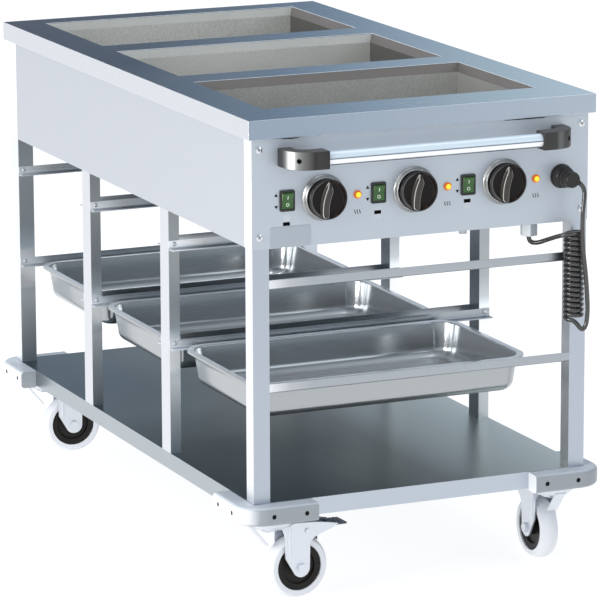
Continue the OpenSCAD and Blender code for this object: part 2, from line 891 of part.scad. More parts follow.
module fork(i) {
    braked = casters[i][3];
    color(zinc) at_caster(i) {
        difference() {
            union() {
                // Swivel crown and the bridge under it
                translate([0, 0, z_crown + swivel_h / 2]) cylinder(d = swivel_d, h = swivel_h / 2);
                translate([0, 0, z_crown]) cylinder(d1 = swivel_d - swivel_h, d2 = swivel_d, h = swivel_h / 2);
                block([-leg_front, -leg_out, z_bridge], [leg_front + nut_d, leg_out, z_crown]);
                // Legs
                for (s = [0, 1]) mirror([0, s, 0]) {
                    translate([0, leg_out, 0]) rotate([90, 0, 0])
                        linear_extrude(fork_t) leg_outline(braked ? braked_shares : plain_shares);
                    translate([leg_front + rib_d * 1.5, leg_out, wheel_r + leg_back_share * leg_h])
                        cylinder(d = rib_d, h = leg_h * (1 - leg_back_share), $fn = 24);
                }
                // Front wall between the legs
                block([leg_front, -leg_out, z_bridge - leg_out], [leg_front + fork_t, leg_out, z_crown]);
                // Stop blade under the crown
                translate([-swivel_d / 2 + fork_t, 0, z_crown]) rotate([0, -blade_turn, 0])
                    block([0, -leg_in / 2, -blade_l], [fork_t, leg_in / 2, swivel_h / 2]);
            }
            // Inside of the fork stays clear of ribs
            block([leg_front + fork_t, -leg_in, 0], [2 * arm_reach, leg_in, z_bridge]);
            // Arch for the tyre
            translate([0, 0, z_bridge - leg_in - fork_t]) rotate([0, 90, 0]) cylinder(r = leg_in, h = arm_reach);
            translate([0, -leg_in, 0]) cube([arm_reach, 2 * leg_in, z_bridge - leg_in - fork_t]);
            // Bores of the kingpin, the axle and the brake pivot
            translate([0, 0, z_bridge - over]) cylinder(d = king_d + pin_fit, h = swivel_h + bridge_t + 2 * over);
            translate([trail, 0, wheel_r]) rotate([90, 0, 0])
                cylinder(d = axle_d + pin_fit, h = 2 * leg_out + 2 * over, center = true);
            if (braked) translate([arm_pivot[0], 0, arm_pivot[1]]) rotate([90, 0, 0])
                cylinder(d = pivot_d + pin_fit, h = 2 * leg_out + 2 * over, center = true);
        }
        // Axle bolt with head and nut
        translate([trail, 0, wheel_r]) rotate([90, 0, 0]) bolt(axle_d, 2 * leg_out + pin_fit);
        if (braked) translate([arm_pivot[0], 0, arm_pivot[1]]) rotate([90, 0, 0]) {
            cylinder(d = pivot_d, h = 2 * leg_out + 2 * fork_t, center = true);
            for (s = [-1, 1]) translate([0, 0, s * (leg_out + fork_t / 2 + pin_fit / 2)])
                cylinder(d = pivot_d + fork_t, h = fork_t, center = true);
        }
    }
}

// A bolt across a grip, with a hexagonal head and nut
module bolt(d, grip) {
    cylinder(d = d, h = grip, center = true);
    for (s = [-1, 1]) translate([0, 0, s * (grip / 2 + d / 4)]) cylinder(d = 1.8 * d, h = d / 2, center = true, $fn = 6);
}

// Wheel centre: [radius, distance from the middle plane]
rim_t = 4;
boss_r = 13;
web_t = 8;
dish = 3;

module wheel(i) {
    hub_r = hub_d / 2;
    boss_w = leg_in - over;
    rim_w = tyre_w / 2 - dish;
    bore_r = (axle_d + pin_fit) / 2;
    half = [
        [bore_r, boss_w], [boss_r - over, boss_w], [boss_r, boss_w - over],
        [boss_r + over, web_t], [hub_r - 3 * rim_t, web_t], [hub_r - 3 * rim_t + over, rim_w - over],
        [hub_r - rim_t, rim_w], [hub_r, rim_w]
    ];
    color("#2b2725") at_caster(i) translate([trail, 0, wheel_r]) rotate([90, 0, 0])
        rotate_extrude($fn = 96) polygon(concat(half, [for (k = [len(half) - 1 : -1 : 0]) [half[k][0], -half[k][1]]]));
}

module tyre(i) {
    hub_r = hub_d / 2;
    color("#c9ccd2") at_caster(i) translate([trail, 0, wheel_r]) rotate([90, 0, 0])
        rotate_extrude($fn = 96) intersection() {
            translate([hub_r, -tyre_w / 2]) square([wheel_r - hub_r + over, tyre_w]);
            translate([wheel_r - crown_r, 0]) circle(crown_r);
        }
}

// Brake lever with its pad and treaded pedal
barrel_d = 11;
pad_in = 3;
tread_pitch = 6;
tread_h = 1;

module brake_pedal(i) {
    px = arm_pivot[0];
    pz = arm_pivot[1];
    lever_w = leg_in - over;
    pedal_x = arm_reach - pedal_l / 3;
    pedal_z = pz + lever_t;
    color("#3c4656") at_caster(i) difference() {
        union() {
            translate([px, 0, pz]) rotate([90, 0, 0]) cylinder(d = barrel_d, h = 2 * lever_w, center = true);
            block([px, -lever_w, pz], [pedal_x + over, lever_w, pz + lever_t]);
            block([pedal_x, -lever_w, pedal_z - over], [pedal_x + pedal_l, lever_w, pedal_z + lever_t - over]);
            // Tread bars
            for (k = [1 : floor(pedal_l / tread_pitch) - 1])
                translate([pedal_x + k * tread_pitch, 0, pedal_z + lever_t - over])
                    rotate([90, 0, 0]) cylinder(r = tread_h, h = 2 * leg_in - 2 * tread_h, center = true, $fn = 24);
            // Pad that reaches down to the tyre
            block([px + barrel_d / 2 + pad_in, -lever_w / 2, wheel_r], [px + 2 * barrel_d + pad_in, lever_w / 2, pz + over]);
        }
        translate([px, 0, pz]) rotate([90, 0, 0])
            cylinder(d = pivot_d + pin_fit, h = 4 * leg_out, center = true);
        translate([trail, 0, wheel_r]) rotate([90, 0, 0])
            cylinder(r = wheel_r + run_gap, h = 4 * leg_out, center = true, $fn = 96);
        // Keeps only the part of the pad above the tyre's shoulder
        block([0, -leg_out, 0], [2 * arm_reach, leg_out, wheel_r + wheel_r / 2]);
    }
}

// Handle

module bracket_plan() {
    difference() {
        intersection() {
            square([bracket_w, handle_reach]);
            union() {
                square([bracket_w, handle_reach - bracket_r]);
                translate([bracket_r, 0]) square([bracket_w - bracket_r, handle_reach]);
                translate([bracket_r, handle_reach - bracket_r]) circle(bracket_r);
            }
        }
        inner = handle_reach - bracket_d;
        translate([bracket_seat, -over]) square([bracket_w, inner - inner / 2 + over]);
        translate([bracket_seat + inner / 2, -over]) square([bracket_w, inner + over]);
        translate([bracket_seat + inner / 2, inner / 2]) circle(inner / 2);
    }
}

bar_end = 18;
bracket_bolt_x = bracket_out - bracket_seat / 2;

module handle_brackets() {
    color(dark_plastic) for (s = [0, 1]) mirror([s, 0, 0])
        difference() {
            translate([bracket_out, y_panel, z_bar - bracket_h / 2])
                rotate([0, 0, 180]) linear_extrude(bracket_h) bracket_plan();
            // Seat of the bar
            translate([bracket_out - bracket_w - over, y_bar, z_bar])
                rotate([0, 90, 0]) cylinder(d = bar_d, h = bar_end + over);
            // Screw recess in the curved front
            translate([bracket_bolt_x, y_panel - handle_reach - over, z_bar])
                rotate([-90, 0, 0]) cylinder(d = recess_d, h = handle_reach - bracket_d / 3);
            translate([bracket_bolt_x, y_panel + over, z_bar])
                rotate([90, 0, 0]) cylinder(d = hole_d, h = bracket_d);
        }
}

module handle_bar() {
    half = bracket_out - bracket_w + bar_end;
    color("#dfe6ee") translate([0, y_bar, z_bar]) rotate([0, 90, 0]) difference() {
        cylinder(d = bar_d, h = 2 * half, center = true);
        cylinder(d = bar_d - 2 * bar_t, h = 2 * half + over, center = true);
    }
}

// Knobs, thermostats and bezels

knob_back = 5;
grip_w = 13;
grip_h = 9;
knob_edge = 3;

module knob_bezels() {
    color("#c8c8c4") for (i = [0 : 2]) translate([station(i), y_panel, z_knob]) rotate([90, 0, 0])
        difference() {
            union() {
                cylinder(d = bezel_d, h = bezel_h / 4, $fn = 96);
                translate([0, 0, bezel_h / 4])
                    cylinder(d1 = bezel_d, d2 = knob_d, h = bezel_h - bezel_h / 4 - run_gap, $fn = 96);
            }
            translate([0, 0, -over]) cylinder(d = knob_d / 2, h = bezel_h + 2 * over);
        }
}

// Two side scoops leave a waisted grip across the knob's face
module knob(i) {
    face = knob_h - grip_h;
    color(dark_plastic) translate([station(i), y_panel, z_knob]) rotate([90, 0, 0]) difference() {
        union() {
            translate([0, 0, bezel_h]) rotate_extrude($fn = 96) {
                square([knob_d / 2 - knob_edge, knob_h]);
                square([knob_d / 2, knob_h - knob_edge]);
                translate([knob_d / 2 - knob_edge, knob_h - knob_edge]) circle(knob_edge);
            }
            translate([0, 0, over]) cylinder(d = spindle_d * 3, h = bezel_h);
        }
        for (s = [-1, 1]) rotate([0, 0, grip_turn])
            translate([s * (grip_w / 2 + scoop_r), 0, bezel_h + face]) cylinder(r = scoop_r, h = knob_h);
        translate([0, 0, -over]) cylinder(d = spindle_d + pin_fit, h = bezel_h + face + over);
    }
}

scoop_r = 60;
grip_turn = -8;
thermostat_d = 46;
thermostat_l = 34;
thermostat_neck = 8;

module thermostats() {
    color("#b9bcbe") for (i = [0 : 2]) translate([station(i), y_post, z_knob]) rotate([-90, 0, 0]) {
        cylinder(d = thermostat_d, h = thermostat_l);
        translate([0, 0, -panel_t - bezel_h - thermostat_neck]) cylinder(d = spindle_d, h = panel_t + bezel_h + thermostat_neck);
    }
}

// Switches

switch_body_w = 25;
switch_body_h = 33;
switch_body_l = 24;
rocker_deep = 3;
rocker_room = 0.3;
stub_pin_d = 3;
stub_pin_l = 1.5;
switch_r = 3;

module at_switch(i) {
    translate([station(i) - switch_off, y_panel, z_knob]) children();
}

module switch_frames() {
    color("#1d1d1d") for (i = [0 : 2]) at_switch(i) difference() {
        union() {
            translate([-switch_w / 2, 0, -switch_h / 2]) rotate([90, 0, 0])
                linear_extrude(switch_t) round_rect([switch_w, switch_h], switch_r);
            translate([-switch_body_w / 2, 0, -switch_body_h / 2])
                cube([switch_body_w, switch_body_l, switch_body_h]);
        }
        translate([-rocker_w / 2 - rocker_room, -switch_t - over, -rocker_h / 2 - rocker_room])
            cube([rocker_w + 2 * rocker_room, switch_t + rocker_h / 2 + rocker_deep, rocker_h + 2 * rocker_room]);
        translate([0, rocker_deep - switch_t, 0]) rotate([0, 90, 0])
            cylinder(d = stub_pin_d + pin_fit, h = rocker_w + 2 * stub_pin_l + 2 * rocker_room, center = true);
    }
}

// Side outline of a rocker at its middle position: a shallow valley between two raised ends
module rocker_outline() {
    valley = -rocker_deep - rocker_room;
    end = valley - rocker_h / 2 * tan(rocker_tilt);
    intersection() {
        circle(d = rocker_h);
        polygon([
            [rocker_deep, -rocker_h / 2], [end, -rocker_h / 2], [valley, 0],
            [end, rocker_h / 2], [rocker_deep, rocker_h / 2]
        ]);
    }
}

module rocker(i) {
    color("#3f8f46") at_switch(i) translate([0, rocker_deep - switch_t, 0]) {
        rotate([rocker_tilt, 0, 0]) rotate([90, 0, 90]) linear_extrude(rocker_w, center = true) rocker_outline();
        rotate([0, 90, 0]) cylinder(d = stub_pin_d, h = rocker_w + 2 * stub_pin_l, center = true);
    }
}

lamp_ring = 2;
lamp_body_d = 10;
lamp_body_l = 22;
lamp_t = 2;

module lamps() {
    color("#e8a020") for (i = [0 : 2])
        translate([station(i) + lamp_off, y_panel, z_knob]) rotate([90, 0, 0]) {
            cylinder(d = lamp_d + lamp_ring, h = lamp_t);
            intersection() {
                translate([0, 0, lamp_t - lamp_d / 2 + lamp_d / 3]) sphere(d = lamp_d);
                translate([0, 0, lamp_t - over]) cylinder(d = lamp_d, h = lamp_d);
            }
            translate([0, 0, -lamp_body_l]) cylinder(d = lamp_body_d, h = lamp_body_l);
        }
}

// Plug and its parking socket

holder_h = 6;
holder_neck_d = 30;
holder_rim = 2;
boot_d = 13;
boot_reach = 17;
boot_turn = -25;
boot_share = 0.8;
boot_end = 1;
pin_half = 9.5;
plug_pin_d = 4.8;

// Outline of the plug, as shares of its radius and of its length
plug_shares = [
    [0, 0], [1, 0], [1, 0.16], [0.84, 0.28], [0.74, 0.3], [0.74, 0.4], [0.82, 0.43],
    [0.82, 0.53], [0.7, 0.56], [0.7, 0.64], [0.73, 0.66], [0.73, 0.92], [0.62, 1], [0, 1]
];

module at_plug() {
    translate([plug_x, y_panel, z_top - plug_drop]) rotate([90, 0, 0]) children();
}

module plug_holder() {
    color("#2c2b2a") at_plug() difference() {
        union() {
            cylinder(d = plug_d + 2 * holder_rim, h = holder_h / 2);
            cylinder(d = plug_d, h = holder_h);
            translate([0, 0, -holder_h]) cylinder(d = holder_neck_d, h = holder_h);
        }
        for (s = [-1, 1]) translate([s * pin_half, 0, -holder_h - over])
            cylinder(d = plug_pin_d + fit, h = 2 * holder_h + 2 * over);
    }
}

module plug() {
    color("#2c2b2a") at_plug() translate([0, 0, holder_h + fit]) {
        rotate_extrude() polygon([for (p = plug_shares) [p[0] * plug_d / 2, p[1] * plug_l]]);
        for (s = [-1, 1]) translate([s * pin_half, 0, -holder_h - fit])
            cylinder(d = plug_pin_d, h = holder_h + fit + over);
        translate([0, 0, boot_share * plug_l]) rotate([0, 90, boot_turn])
            cylinder(d1 = boot_d, d2 = cord_d + boot_end, h = boot_reach);
    }
}

// Cable gland under the body

gland_neck_d = 20;
gland_nut_h = 5;

module cable_gland() {
    color("#8d9296") translate([gland_x, y_panel + gland_in, 0]) {
        translate([0, 0, z_body - gland_l]) rotate([0, 0, 15]) cylinder(d = gland_d, h = gland_l, $fn = 6);
        translate([0, 0, z_body]) cylinder(d = gland_neck_d, h = 2 * panel_t + gland_nut_h);
        translate([0, 0, z_body + 2 * panel_t]) cylinder(d = gland_d - over, h = gland_nut_h, $fn = 6);
    }
}

// Cord tubes, swept through their own points

// A ring of a tube: side points round a place, square to a direction
function tube_ring(p, dir, ref, r, sides) =
    let (t = dir / norm(dir), n = cross(t, ref), u = n / norm(n), v = cross(t, u))
        [for (k = [0 : sides - 1]) p + r * (cos(360 * k / sides) * u + sin(360 * k / sides) * v)];

// A smooth curve through points, with its end directions given
function spline(p, k, s) =
    let (a = p[max(k - 1, 0)], b = p[k], c = p[k + 1], d = p[min(k + 2, len(p) - 1)])
        0.5 * (2 * b + (c - a) * s + (2 * a - 5 * b + 4 * c - d) * s * s + (3 * b - a - 3 * c + d) * s * s * s);
function smooth(p, steps) = concat(
    [for (k = [0 : len(p) - 2], j = [0 : steps - 1]) spline(p, k, j / steps)], [p[len(p) - 1]]
);

// A tube along a path; it leaves and ends along the path's first and last stretch
module tube(path, ref, sides) {
    m = len(path);
    lofted([for (k = [0 : m - 1])
        let (before = path[max(k - 1, 0)], after = path[min(k + 1, m - 1)],
             dir = k == 0 ? path[1] - path[0] : k == m - 1 ? path[m - 1] - path[m - 2]
                 : (path[k] - before) / norm(path[k] - before) + (after - path[k]) / norm(after - path[k]))
            tube_ring(path[k], dir, ref, cord_d / 2, sides)]);
}

// Curly stretch: 17 turns round an upright line, whose lower end turns down
curls = 17;
curl_steps = 8;
curl_r = 15;
curl_pitch = 9;
coil_side = 34;
coil_ahead = 20.9;
coil_drop = 15;
coil_x = x_post - coil_side;
coil_y = y_post - coil_ahead;
coil_top = z_body - coil_drop;

coil_start = [coil_x, coil_y - curl_r, coil_top];
coil_foot = [[-9, -14, -5], [-5, -17, -11]];
coil_path = concat(
    [coil_start - [2 * cord_d, 0, 0], coil_start - [cord_d, 0, 0]],
    [for (k = [0 : curls * curl_steps - 1])
        let (a = -90 + 360 * k / curl_steps, z = coil_top - curl_pitch * k / curl_steps)
            [coil_x + curl_r * cos(a), coil_y + curl_r * sin(a), z]],
    [for (d = coil_foot) [coil_x, coil_y, coil_top - curls * curl_pitch] + d]
);
coil_end = coil_path[len(coil_path) - 1];
coil_out = coil_end - coil_path[len(coil_path) - 2];

module cord_coil() {
    color("#2f2e2d") tube(coil_path, [0, 0, 1], 6);
}

// Lead from the gland to the curly stretch
gland_mouth = [gland_x, y_panel + gland_in, z_body - gland_l];
lead_points = [
    gland_mouth - [0, 0, cord_d],
    gland_mouth + [4, -3.2, -13],
    gland_mouth + [12, -12.2, -11],
    coil_start + [-39, 36, -13],
    coil_start + [-32, 18, -6],
    coil_start + [-29, 5, -2],
    coil_path[0] - [cord_d, 0, 0]
];

module cord_lead() {
    color("#2f2e2d") tube(concat([gland_mouth], smooth(lead_points, 2), [coil_path[0]]), [0.7, 0.7, 0], 8);
}

// Tail from the curly stretch up to the plug
boot_out = [cos(boot_turn), 0, sin(boot_turn)];
boot_tip = [plug_x, y_panel - holder_h - fit - boot_share * plug_l, z_top - plug_drop] + boot_reach * boot_out;
tail_points = [
    coil_end + coil_out,
    coil_end + [10, -5, -8],
    coil_end + [16, -6, 1],
    coil_end + [19, -6, 16],
    coil_end + [20, -7, 35],
    coil_end + [18, -8, 61],
    coil_end + [15, -8, 94],
    coil_start + [5, -10, -30],
    coil_start + [2, -10, 10],
    boot_tip + [2.6, -6.4, -42.8],
    boot_tip + [4.6, -5.4, -20.8],
    boot_tip + cord_d * boot_out
];

module cord_tail() {
    color("#2f2e2d") tube(concat([coil_end], smooth(tail_points, 2), [boot_tip]), [0, 1, 0], 8);
}

// Least gap between neighbouring turns of the curly stretch, measured on its points
function turn_gap(path) = min([
    for (a = [0 : len(path) - 1], b = [a + curl_steps - 2 : len(path) - 1])
        if (b > a + curl_steps / 2) norm(path[a] - path[b])
]) - cord_d;
echo(curly_gap = turn_gap(coil_path));

// Screws of the panels and of the guides

module screws() {
    color("#c9cdd0") {
        for (s = [-1, 1], d = panel_screw_drops) {
            translate([s * (x_post - panel_screw_in), y_panel, z_top - d]) screw_y(panel_head_d);
            translate([s * (x_post - panel_screw_in), y_post_end + panel_t, z_top - d])
                mirror([0, 1, 0]) screw_y(panel_head_d);
        }
        for (seat = guide_seats, s = [-1, 1], z = z_guide_holes)
            translate([s * (x_post - mid_w / 2), seat[0] + seat[1] * guide_t, z])
                mirror([0, seat[1] > 0 ? 1 : 0, 0]) screw_y();
    }
}

worktop();
well(0);  // well_front
well(1);  // well_middle
well(2);  // well_rear
heating_elements();
control_panel();
rear_panel();
side_panels();
bottom_cover();
drain_stub();
corner_post(false, false);  // post_front_left
corner_post(true, false);  // post_front_right
corner_post(false, true);  // post_rear_left
corner_post(true, true);  // post_rear_right
mid_posts();
upper_guides();
lower_guides();
pan(0, pan_front_x);  // pan_front
pan(1, pan_middle_x);  // pan_middle
pan(2, pan_rear_x);  // pan_rear
shelf();
bumper(false, false);  // bumper_front_left
bumper(true, false);  // bumper_front_right
bumper(false, true);  // bumper_rear_left
bumper(true, true);  // bumper_rear_right
bumper_screws();
screws();
caster_plates();
fork(0);  // fork_front_left
fork(1);  // fork_front_right
fork(2);  // fork_rear_left
fork(3);  // fork_rear_right
wheel(0);  // wheel_front_left
wheel(1);  // wheel_front_right
wheel(2);  // wheel_rear_left
wheel(3);  // wheel_rear_right
tyre(0);  // tyre_front_left
tyre(1);  // tyre_front_right
tyre(2);  // tyre_rear_left
tyre(3);  // tyre_rear_right
brake_pedal(0);  // brake_pedal_front_left
brake_pedal(2);  // brake_pedal_rear_left
handle_bar();
handle_brackets();
knob_bezels();
knob(0);  // knob_left
knob(1);  // knob_middle
knob(2);  // knob_right
thermostats();
switch_frames();
rocker(0);  // rocker_left
rocker(1);  // rocker_middle
rocker(2);  // rocker_right
lamps();
plug_holder();
plug();
cord_lead();
cord_coil();
cord_tail();
cable_gland();
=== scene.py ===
import math
import bmesh
import bpy
from mathutils import Matrix, Vector


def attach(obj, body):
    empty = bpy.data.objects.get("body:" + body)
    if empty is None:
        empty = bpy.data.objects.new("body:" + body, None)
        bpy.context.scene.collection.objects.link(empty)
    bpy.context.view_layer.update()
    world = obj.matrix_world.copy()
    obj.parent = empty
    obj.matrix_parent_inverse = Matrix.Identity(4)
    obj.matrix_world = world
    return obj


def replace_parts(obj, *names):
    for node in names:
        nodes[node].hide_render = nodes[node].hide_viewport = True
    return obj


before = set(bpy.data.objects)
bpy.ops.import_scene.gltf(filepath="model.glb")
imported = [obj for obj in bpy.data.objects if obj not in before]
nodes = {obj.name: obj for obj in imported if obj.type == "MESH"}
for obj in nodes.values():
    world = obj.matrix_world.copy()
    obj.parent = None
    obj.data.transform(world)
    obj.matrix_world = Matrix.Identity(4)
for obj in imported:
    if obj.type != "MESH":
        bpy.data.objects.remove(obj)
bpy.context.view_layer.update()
scene = bpy.context.scene

# Places and sizes that the CAD source works out, in metres
TOP = 0.840
TOP_LENGTH = 1.190
TOP_WIDTH = 0.645
LIP_BOTTOM = 0.8046
Y_FRONT = -0.5791
Y_POST = Y_FRONT + 0.012
SHEET = 0.0012
Y_PANEL = Y_POST - SHEET
Z_KNOB = TOP - 0.1405
KNOB_X = (-0.183, -0.016, 0.151)
SWITCH_SHIFT = -0.0665
LAMP_SHIFT = 0.0622
SIDES = ("left", "middle", "right")
CORNERS = ("front_left", "front_right", "rear_left", "rear_right")


def cosd(degrees):
    return math.cos(math.radians(degrees))


def sind(degrees):
    return math.sin(math.radians(degrees))


def arc(start, end, steps):
    """Angles in equal steps from start to end, in degrees."""
    return [start + (end - start) * k / steps for k in range(steps + 1)]


# Camera, as fitted to the photograph
YAW = 0.41457
PITCH = 0.21981
ROLL = -0.00373
CAMERA_PLACE = Vector((-2.91075, -6.66803, 2.01714))
ahead = Vector((math.sin(YAW) * math.cos(PITCH), math.cos(YAW) * math.cos(PITCH), -math.sin(PITCH)))
level = Vector((math.cos(YAW), -math.sin(YAW), 0))
upright = level.cross(ahead)
right = level * math.cos(ROLL) + upright * math.sin(ROLL)
up = upright * math.cos(ROLL) - level * math.sin(ROLL)
cam = bpy.data.objects.new("camera", bpy.data.cameras.new("camera"))
cam.data.sensor_width = 36
cam.data.lens = 245.19
cam.data.clip_end = 200
turned = Matrix((right, up, -ahead)).transposed().to_4x4()
cam.matrix_world = Matrix.Translation(CAMERA_PLACE) @ turned
scene.collection.objects.link(cam)
scene.camera = cam

# Mains cord: from the gland under the body through its curly stretch up to the plug
CORD_D = 0.008
COIL_X = 0.278
COIL_Y = -0.588
COIL_R = 0.015
COIL_PITCH = 0.009
COIL_TOP = 0.605
COIL_TURNS = 17 - 1 / 8
TURN_STEPS = 24
SPLINE_STEPS = 5
BOOT_TILT = -25
BOOT_REACH = 0.017
BOOT_HOLD = 0.004
LEAST_STEP = 0.0015


def spline_points(points, steps):
    """A smooth curve through the points, as more points."""
    out = []
    last = len(points) - 1
    for k in range(last):
        before = points[max(k - 1, 0)]
        start = points[k]
        end = points[k + 1]
        after = points[min(k + 2, last)]
        for j in range(steps):
            s = j / steps
            out.append(0.5 * (2 * start + (end - before) * s
                              + (2 * before - 5 * start + 4 * end - after) * s * s
                              + (3 * start - before - 3 * end + after) * s * s * s))
    return out + [points[-1]]


def thin_out(path, least):
    """The path without points that lie closer than least to the last one kept."""
    out = [path[0]]
    for point in path[1:-1]:
        if (point - out[-1]).length > least:
            out.append(point)
    return out + [path[-1]]


def mm(rows):
    """Points in metres from rows in millimetres."""
    return [Vector(row) / 1000 for row in rows]


mouth = Vector((0.216, -0.5388, 0.595))
lead = spline_points([mouth] + mm([
    (216.6, -539.3, 588), (220, -542.5, 583), (228, -551, 583.5), (239, -567, 591),
    (246, -584, 598), (250.5, -595, 602), (256, -601.3, 604.4), (263, -603, 605)]), SPLINE_STEPS)
turn_start = Vector((COIL_X, COIL_Y - COIL_R, COIL_TOP))
coil_in = [turn_start - Vector((back, 0, 0)) for back in (0.011, 0.006)]
helix = []
for k in range(round(TURN_STEPS * COIL_TURNS) + 1):
    angle = -90 + 360 * k / TURN_STEPS
    helix.append(Vector((COIL_X + COIL_R * cosd(angle), COIL_Y + COIL_R * sind(angle),
                         COIL_TOP - COIL_PITCH * k / TURN_STEPS)))
boot_out = Vector((cosd(BOOT_TILT), 0, sind(BOOT_TILT)))
boot_tip = Vector((0.262, Y_PANEL - 0.0383, 0.700)) + BOOT_REACH * boot_out
tail = spline_points([helix[-1]] + mm([
    (271.6, -602.6, 451.4), (276, -606.6, 446.4), (280, -609.2, 440.5), (284.5, -610.4, 437.5),
    (288.6, -611, 441), (291.2, -611.4, 448.5), (292.6, -611.7, 459), (293, -612, 476),
    (291, -613, 502), (288, -613, 535), (283, -613, 575), (281, -613, 612),
    (281.5, -612.8, 640), (284, -611.5, 661), (285.8, -609.6, 673), (285.3, -608, 681.5),
    (282.2, -607, 688.2)]) + [boot_tip, boot_tip - BOOT_HOLD * boot_out], SPLINE_STEPS)[1:]
route = thin_out(lead + coil_in + helix + tail, LEAST_STEP)

cord_curve = bpy.data.curves.new("mains_cord", "CURVE")
cord_curve.dimensions = "3D"
# Each point carries the cord's radius, because the curve's own box grows by it
cord_curve.bevel_depth = 1.0
cord_curve.bevel_resolution = 4
cord_curve.use_fill_caps = True
cord_curve.twist_mode = "MINIMUM"
spline = cord_curve.splines.new("POLY")
spline.points.add(len(route) - 1)
for point, place in zip(spline.points, route):
    point.co = (*place, 1)
    point.radius = CORD_D / 2
spline.use_smooth = True
mains_cord = bpy.data.objects.new("mains_cord", cord_curve)
scene.collection.objects.link(mains_cord)
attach(mains_cord, "frame")
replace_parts(mains_cord, "cord_lead", "cord_coil", "cord_tail")
cord_length = sum((b - a).length for a, b in zip(route, route[1:]))


# Building blocks of the materials. Each takes the node tree first and returns a socket.

def links(tree, *pairs):
    for a, b in pairs:
        tree.links.new(a, b)


def normal_along(tree, axis):
    """How far the surface faces along an axis, from -1 to 1."""
    geometry = tree.nodes.new("ShaderNodeNewGeometry")
    split = tree.nodes.new("ShaderNodeSeparateXYZ")
    links(tree, (geometry.outputs["Normal"], split.inputs["Vector"]))
    return split.outputs[axis]


def place_along(tree, axis):
    """The place on the object along an axis, in metres."""
    coords = tree.nodes.new("ShaderNodeTexCoord")
    split = tree.nodes.new("ShaderNodeSeparateXYZ")
    links(tree, (coords.outputs["Object"], split.inputs["Vector"]))
    return split.outputs[axis]


def grain(tree, scale, stretch=(1, 1, 1), detail=3.0, seed=0.0):
    coords = tree.nodes.new("ShaderNodeTexCoord")
    mapping = tree.nodes.new("ShaderNodeMapping")
    mapping.inputs["Scale"].default_value = stretch
    mapping.inputs["Location"].default_value = (seed, seed * 0.7, seed * 0.3)
    noise = tree.nodes.new("ShaderNodeTexNoise")
    noise.inputs["Scale"].default_value = scale
    noise.inputs["Detail"].default_value = detail
    links(tree, (coords.outputs["Object"], mapping.inputs["Vector"]),
          (mapping.outputs["Vector"], noise.inputs["Vector"]))
    return noise.outputs["Fac"]


def ramp(tree, value, stops):
    """A colour for each value from 0 to 1. The stops are pairs of a value and a colour."""
    node = tree.nodes.new("ShaderNodeValToRGB")
    elements = node.color_ramp.elements
    while len(elements) > 1:
        elements.remove(elements[0])
    elements[0].position = stops[0][0]
    elements[0].color = (*stops[0][1], 1)
    for position, color in stops[1:]:
        elements.new(position).color = (*color, 1)
    links(tree, (value, node.inputs["Fac"]))
    return node.outputs["Color"]


def spread(tree, value, low, high, start=0.3, end=0.7):
    """Moves the range from start to end onto the range from low to high."""
    node = tree.nodes.new("ShaderNodeMapRange")
    node.inputs["From Min"].default_value = start
    node.inputs["From Max"].default_value = end
    node.inputs["To Min"].default_value = low
    node.inputs["To Max"].default_value = high
    links(tree, (value, node.inputs["Value"]))
    return node.outputs["Result"]


def math_node(tree, operation, *values):
    node = tree.nodes.new("ShaderNodeMath")
    node.operation = operation
    links(tree, *zip(values, node.inputs))
    return node.outputs[0]


def mix(tree, a, b, factor, mode="MIX"):
    """a turns into b with the factor. Either can be a colour or a socket."""
    node = tree.nodes.new("ShaderNodeMix")
    node.data_type = "RGBA"
    node.blend_type = mode
    if isinstance(factor, float):
        node.inputs["Factor"].default_value = factor
    else:
        links(tree, (factor, node.inputs["Factor"]))
    for name, value in (("A", a), ("B", b)):
        socket = next(i for i in node.inputs if i.name == name and i.type == "RGBA")
        if isinstance(value, tuple):
            socket.default_value = (*value, 1)
        else:
            links(tree, (value, socket))
    return next(o for o in node.outputs if o.type == "RGBA")


def times(tree, a, b):
    return mix(tree, a, b, 1.0, "MULTIPLY")


def grey(value):
    return (value,) * 3


def tint(color, factor):
    return tuple(min(1, v * factor) for v in color)


def facing(tree, axis, start, end):
    """1 where the surface faces past end along an axis, 0 before start."""
    return spread(tree, normal_along(tree, axis), 0, 1, start, end)


def normal_ramp(tree, axis, stops):
    """A tone for each slope of the surface along an axis, from -1 to 1."""
    return ramp(tree, spread(tree, normal_along(tree, axis), 0, 1, -1, 1),
                [((slope + 1) / 2, color) for slope, color in stops])


def axis_ramp(tree, axis, low, high, stops):
    """A tone for each place from low to high along an axis. The stops run from 0 to 1."""
    return ramp(tree, spread(tree, place_along(tree, axis), 0, 1, low, high), stops)


def slope_ramp(tree, slope, offset, stops):
    """A change of tone along a slanted direction."""
    coords = tree.nodes.new("ShaderNodeTexCoord")
    dot = tree.nodes.new("ShaderNodeVectorMath")
    dot.operation = "DOT_PRODUCT"
    dot.inputs[1].default_value = slope
    links(tree, (coords.outputs["Object"], dot.inputs[0]))
    end = stops[-1][0]
    return ramp(tree, spread(tree, dot.outputs["Value"], 0, 1, -offset, end - offset),
                [(position / end, color) for position, color in stops])


def on_rounds(tree, flat=0.95, edge=0.82):
    """1 on rounded edges of a boxy form, whose faces look along no axis."""
    sizes = [math_node(tree, "ABSOLUTE", normal_along(tree, axis)) for axis in "XYZ"]
    largest = math_node(tree, "MAXIMUM", math_node(tree, "MAXIMUM", sizes[0], sizes[1]), sizes[2])
    return spread(tree, largest, 1, 0, edge, flat)


def bump(tree, height, shader, strength, distance):
    node = tree.nodes.new("ShaderNodeBump")
    node.inputs["Strength"].default_value = strength
    node.inputs["Distance"].default_value = distance
    links(tree, (height, node.inputs["Height"]), (node.outputs["Normal"], shader.inputs["Normal"]))


# Kinds of material

def shader_of(mat):
    return mat.node_tree.nodes["Principled BSDF"]


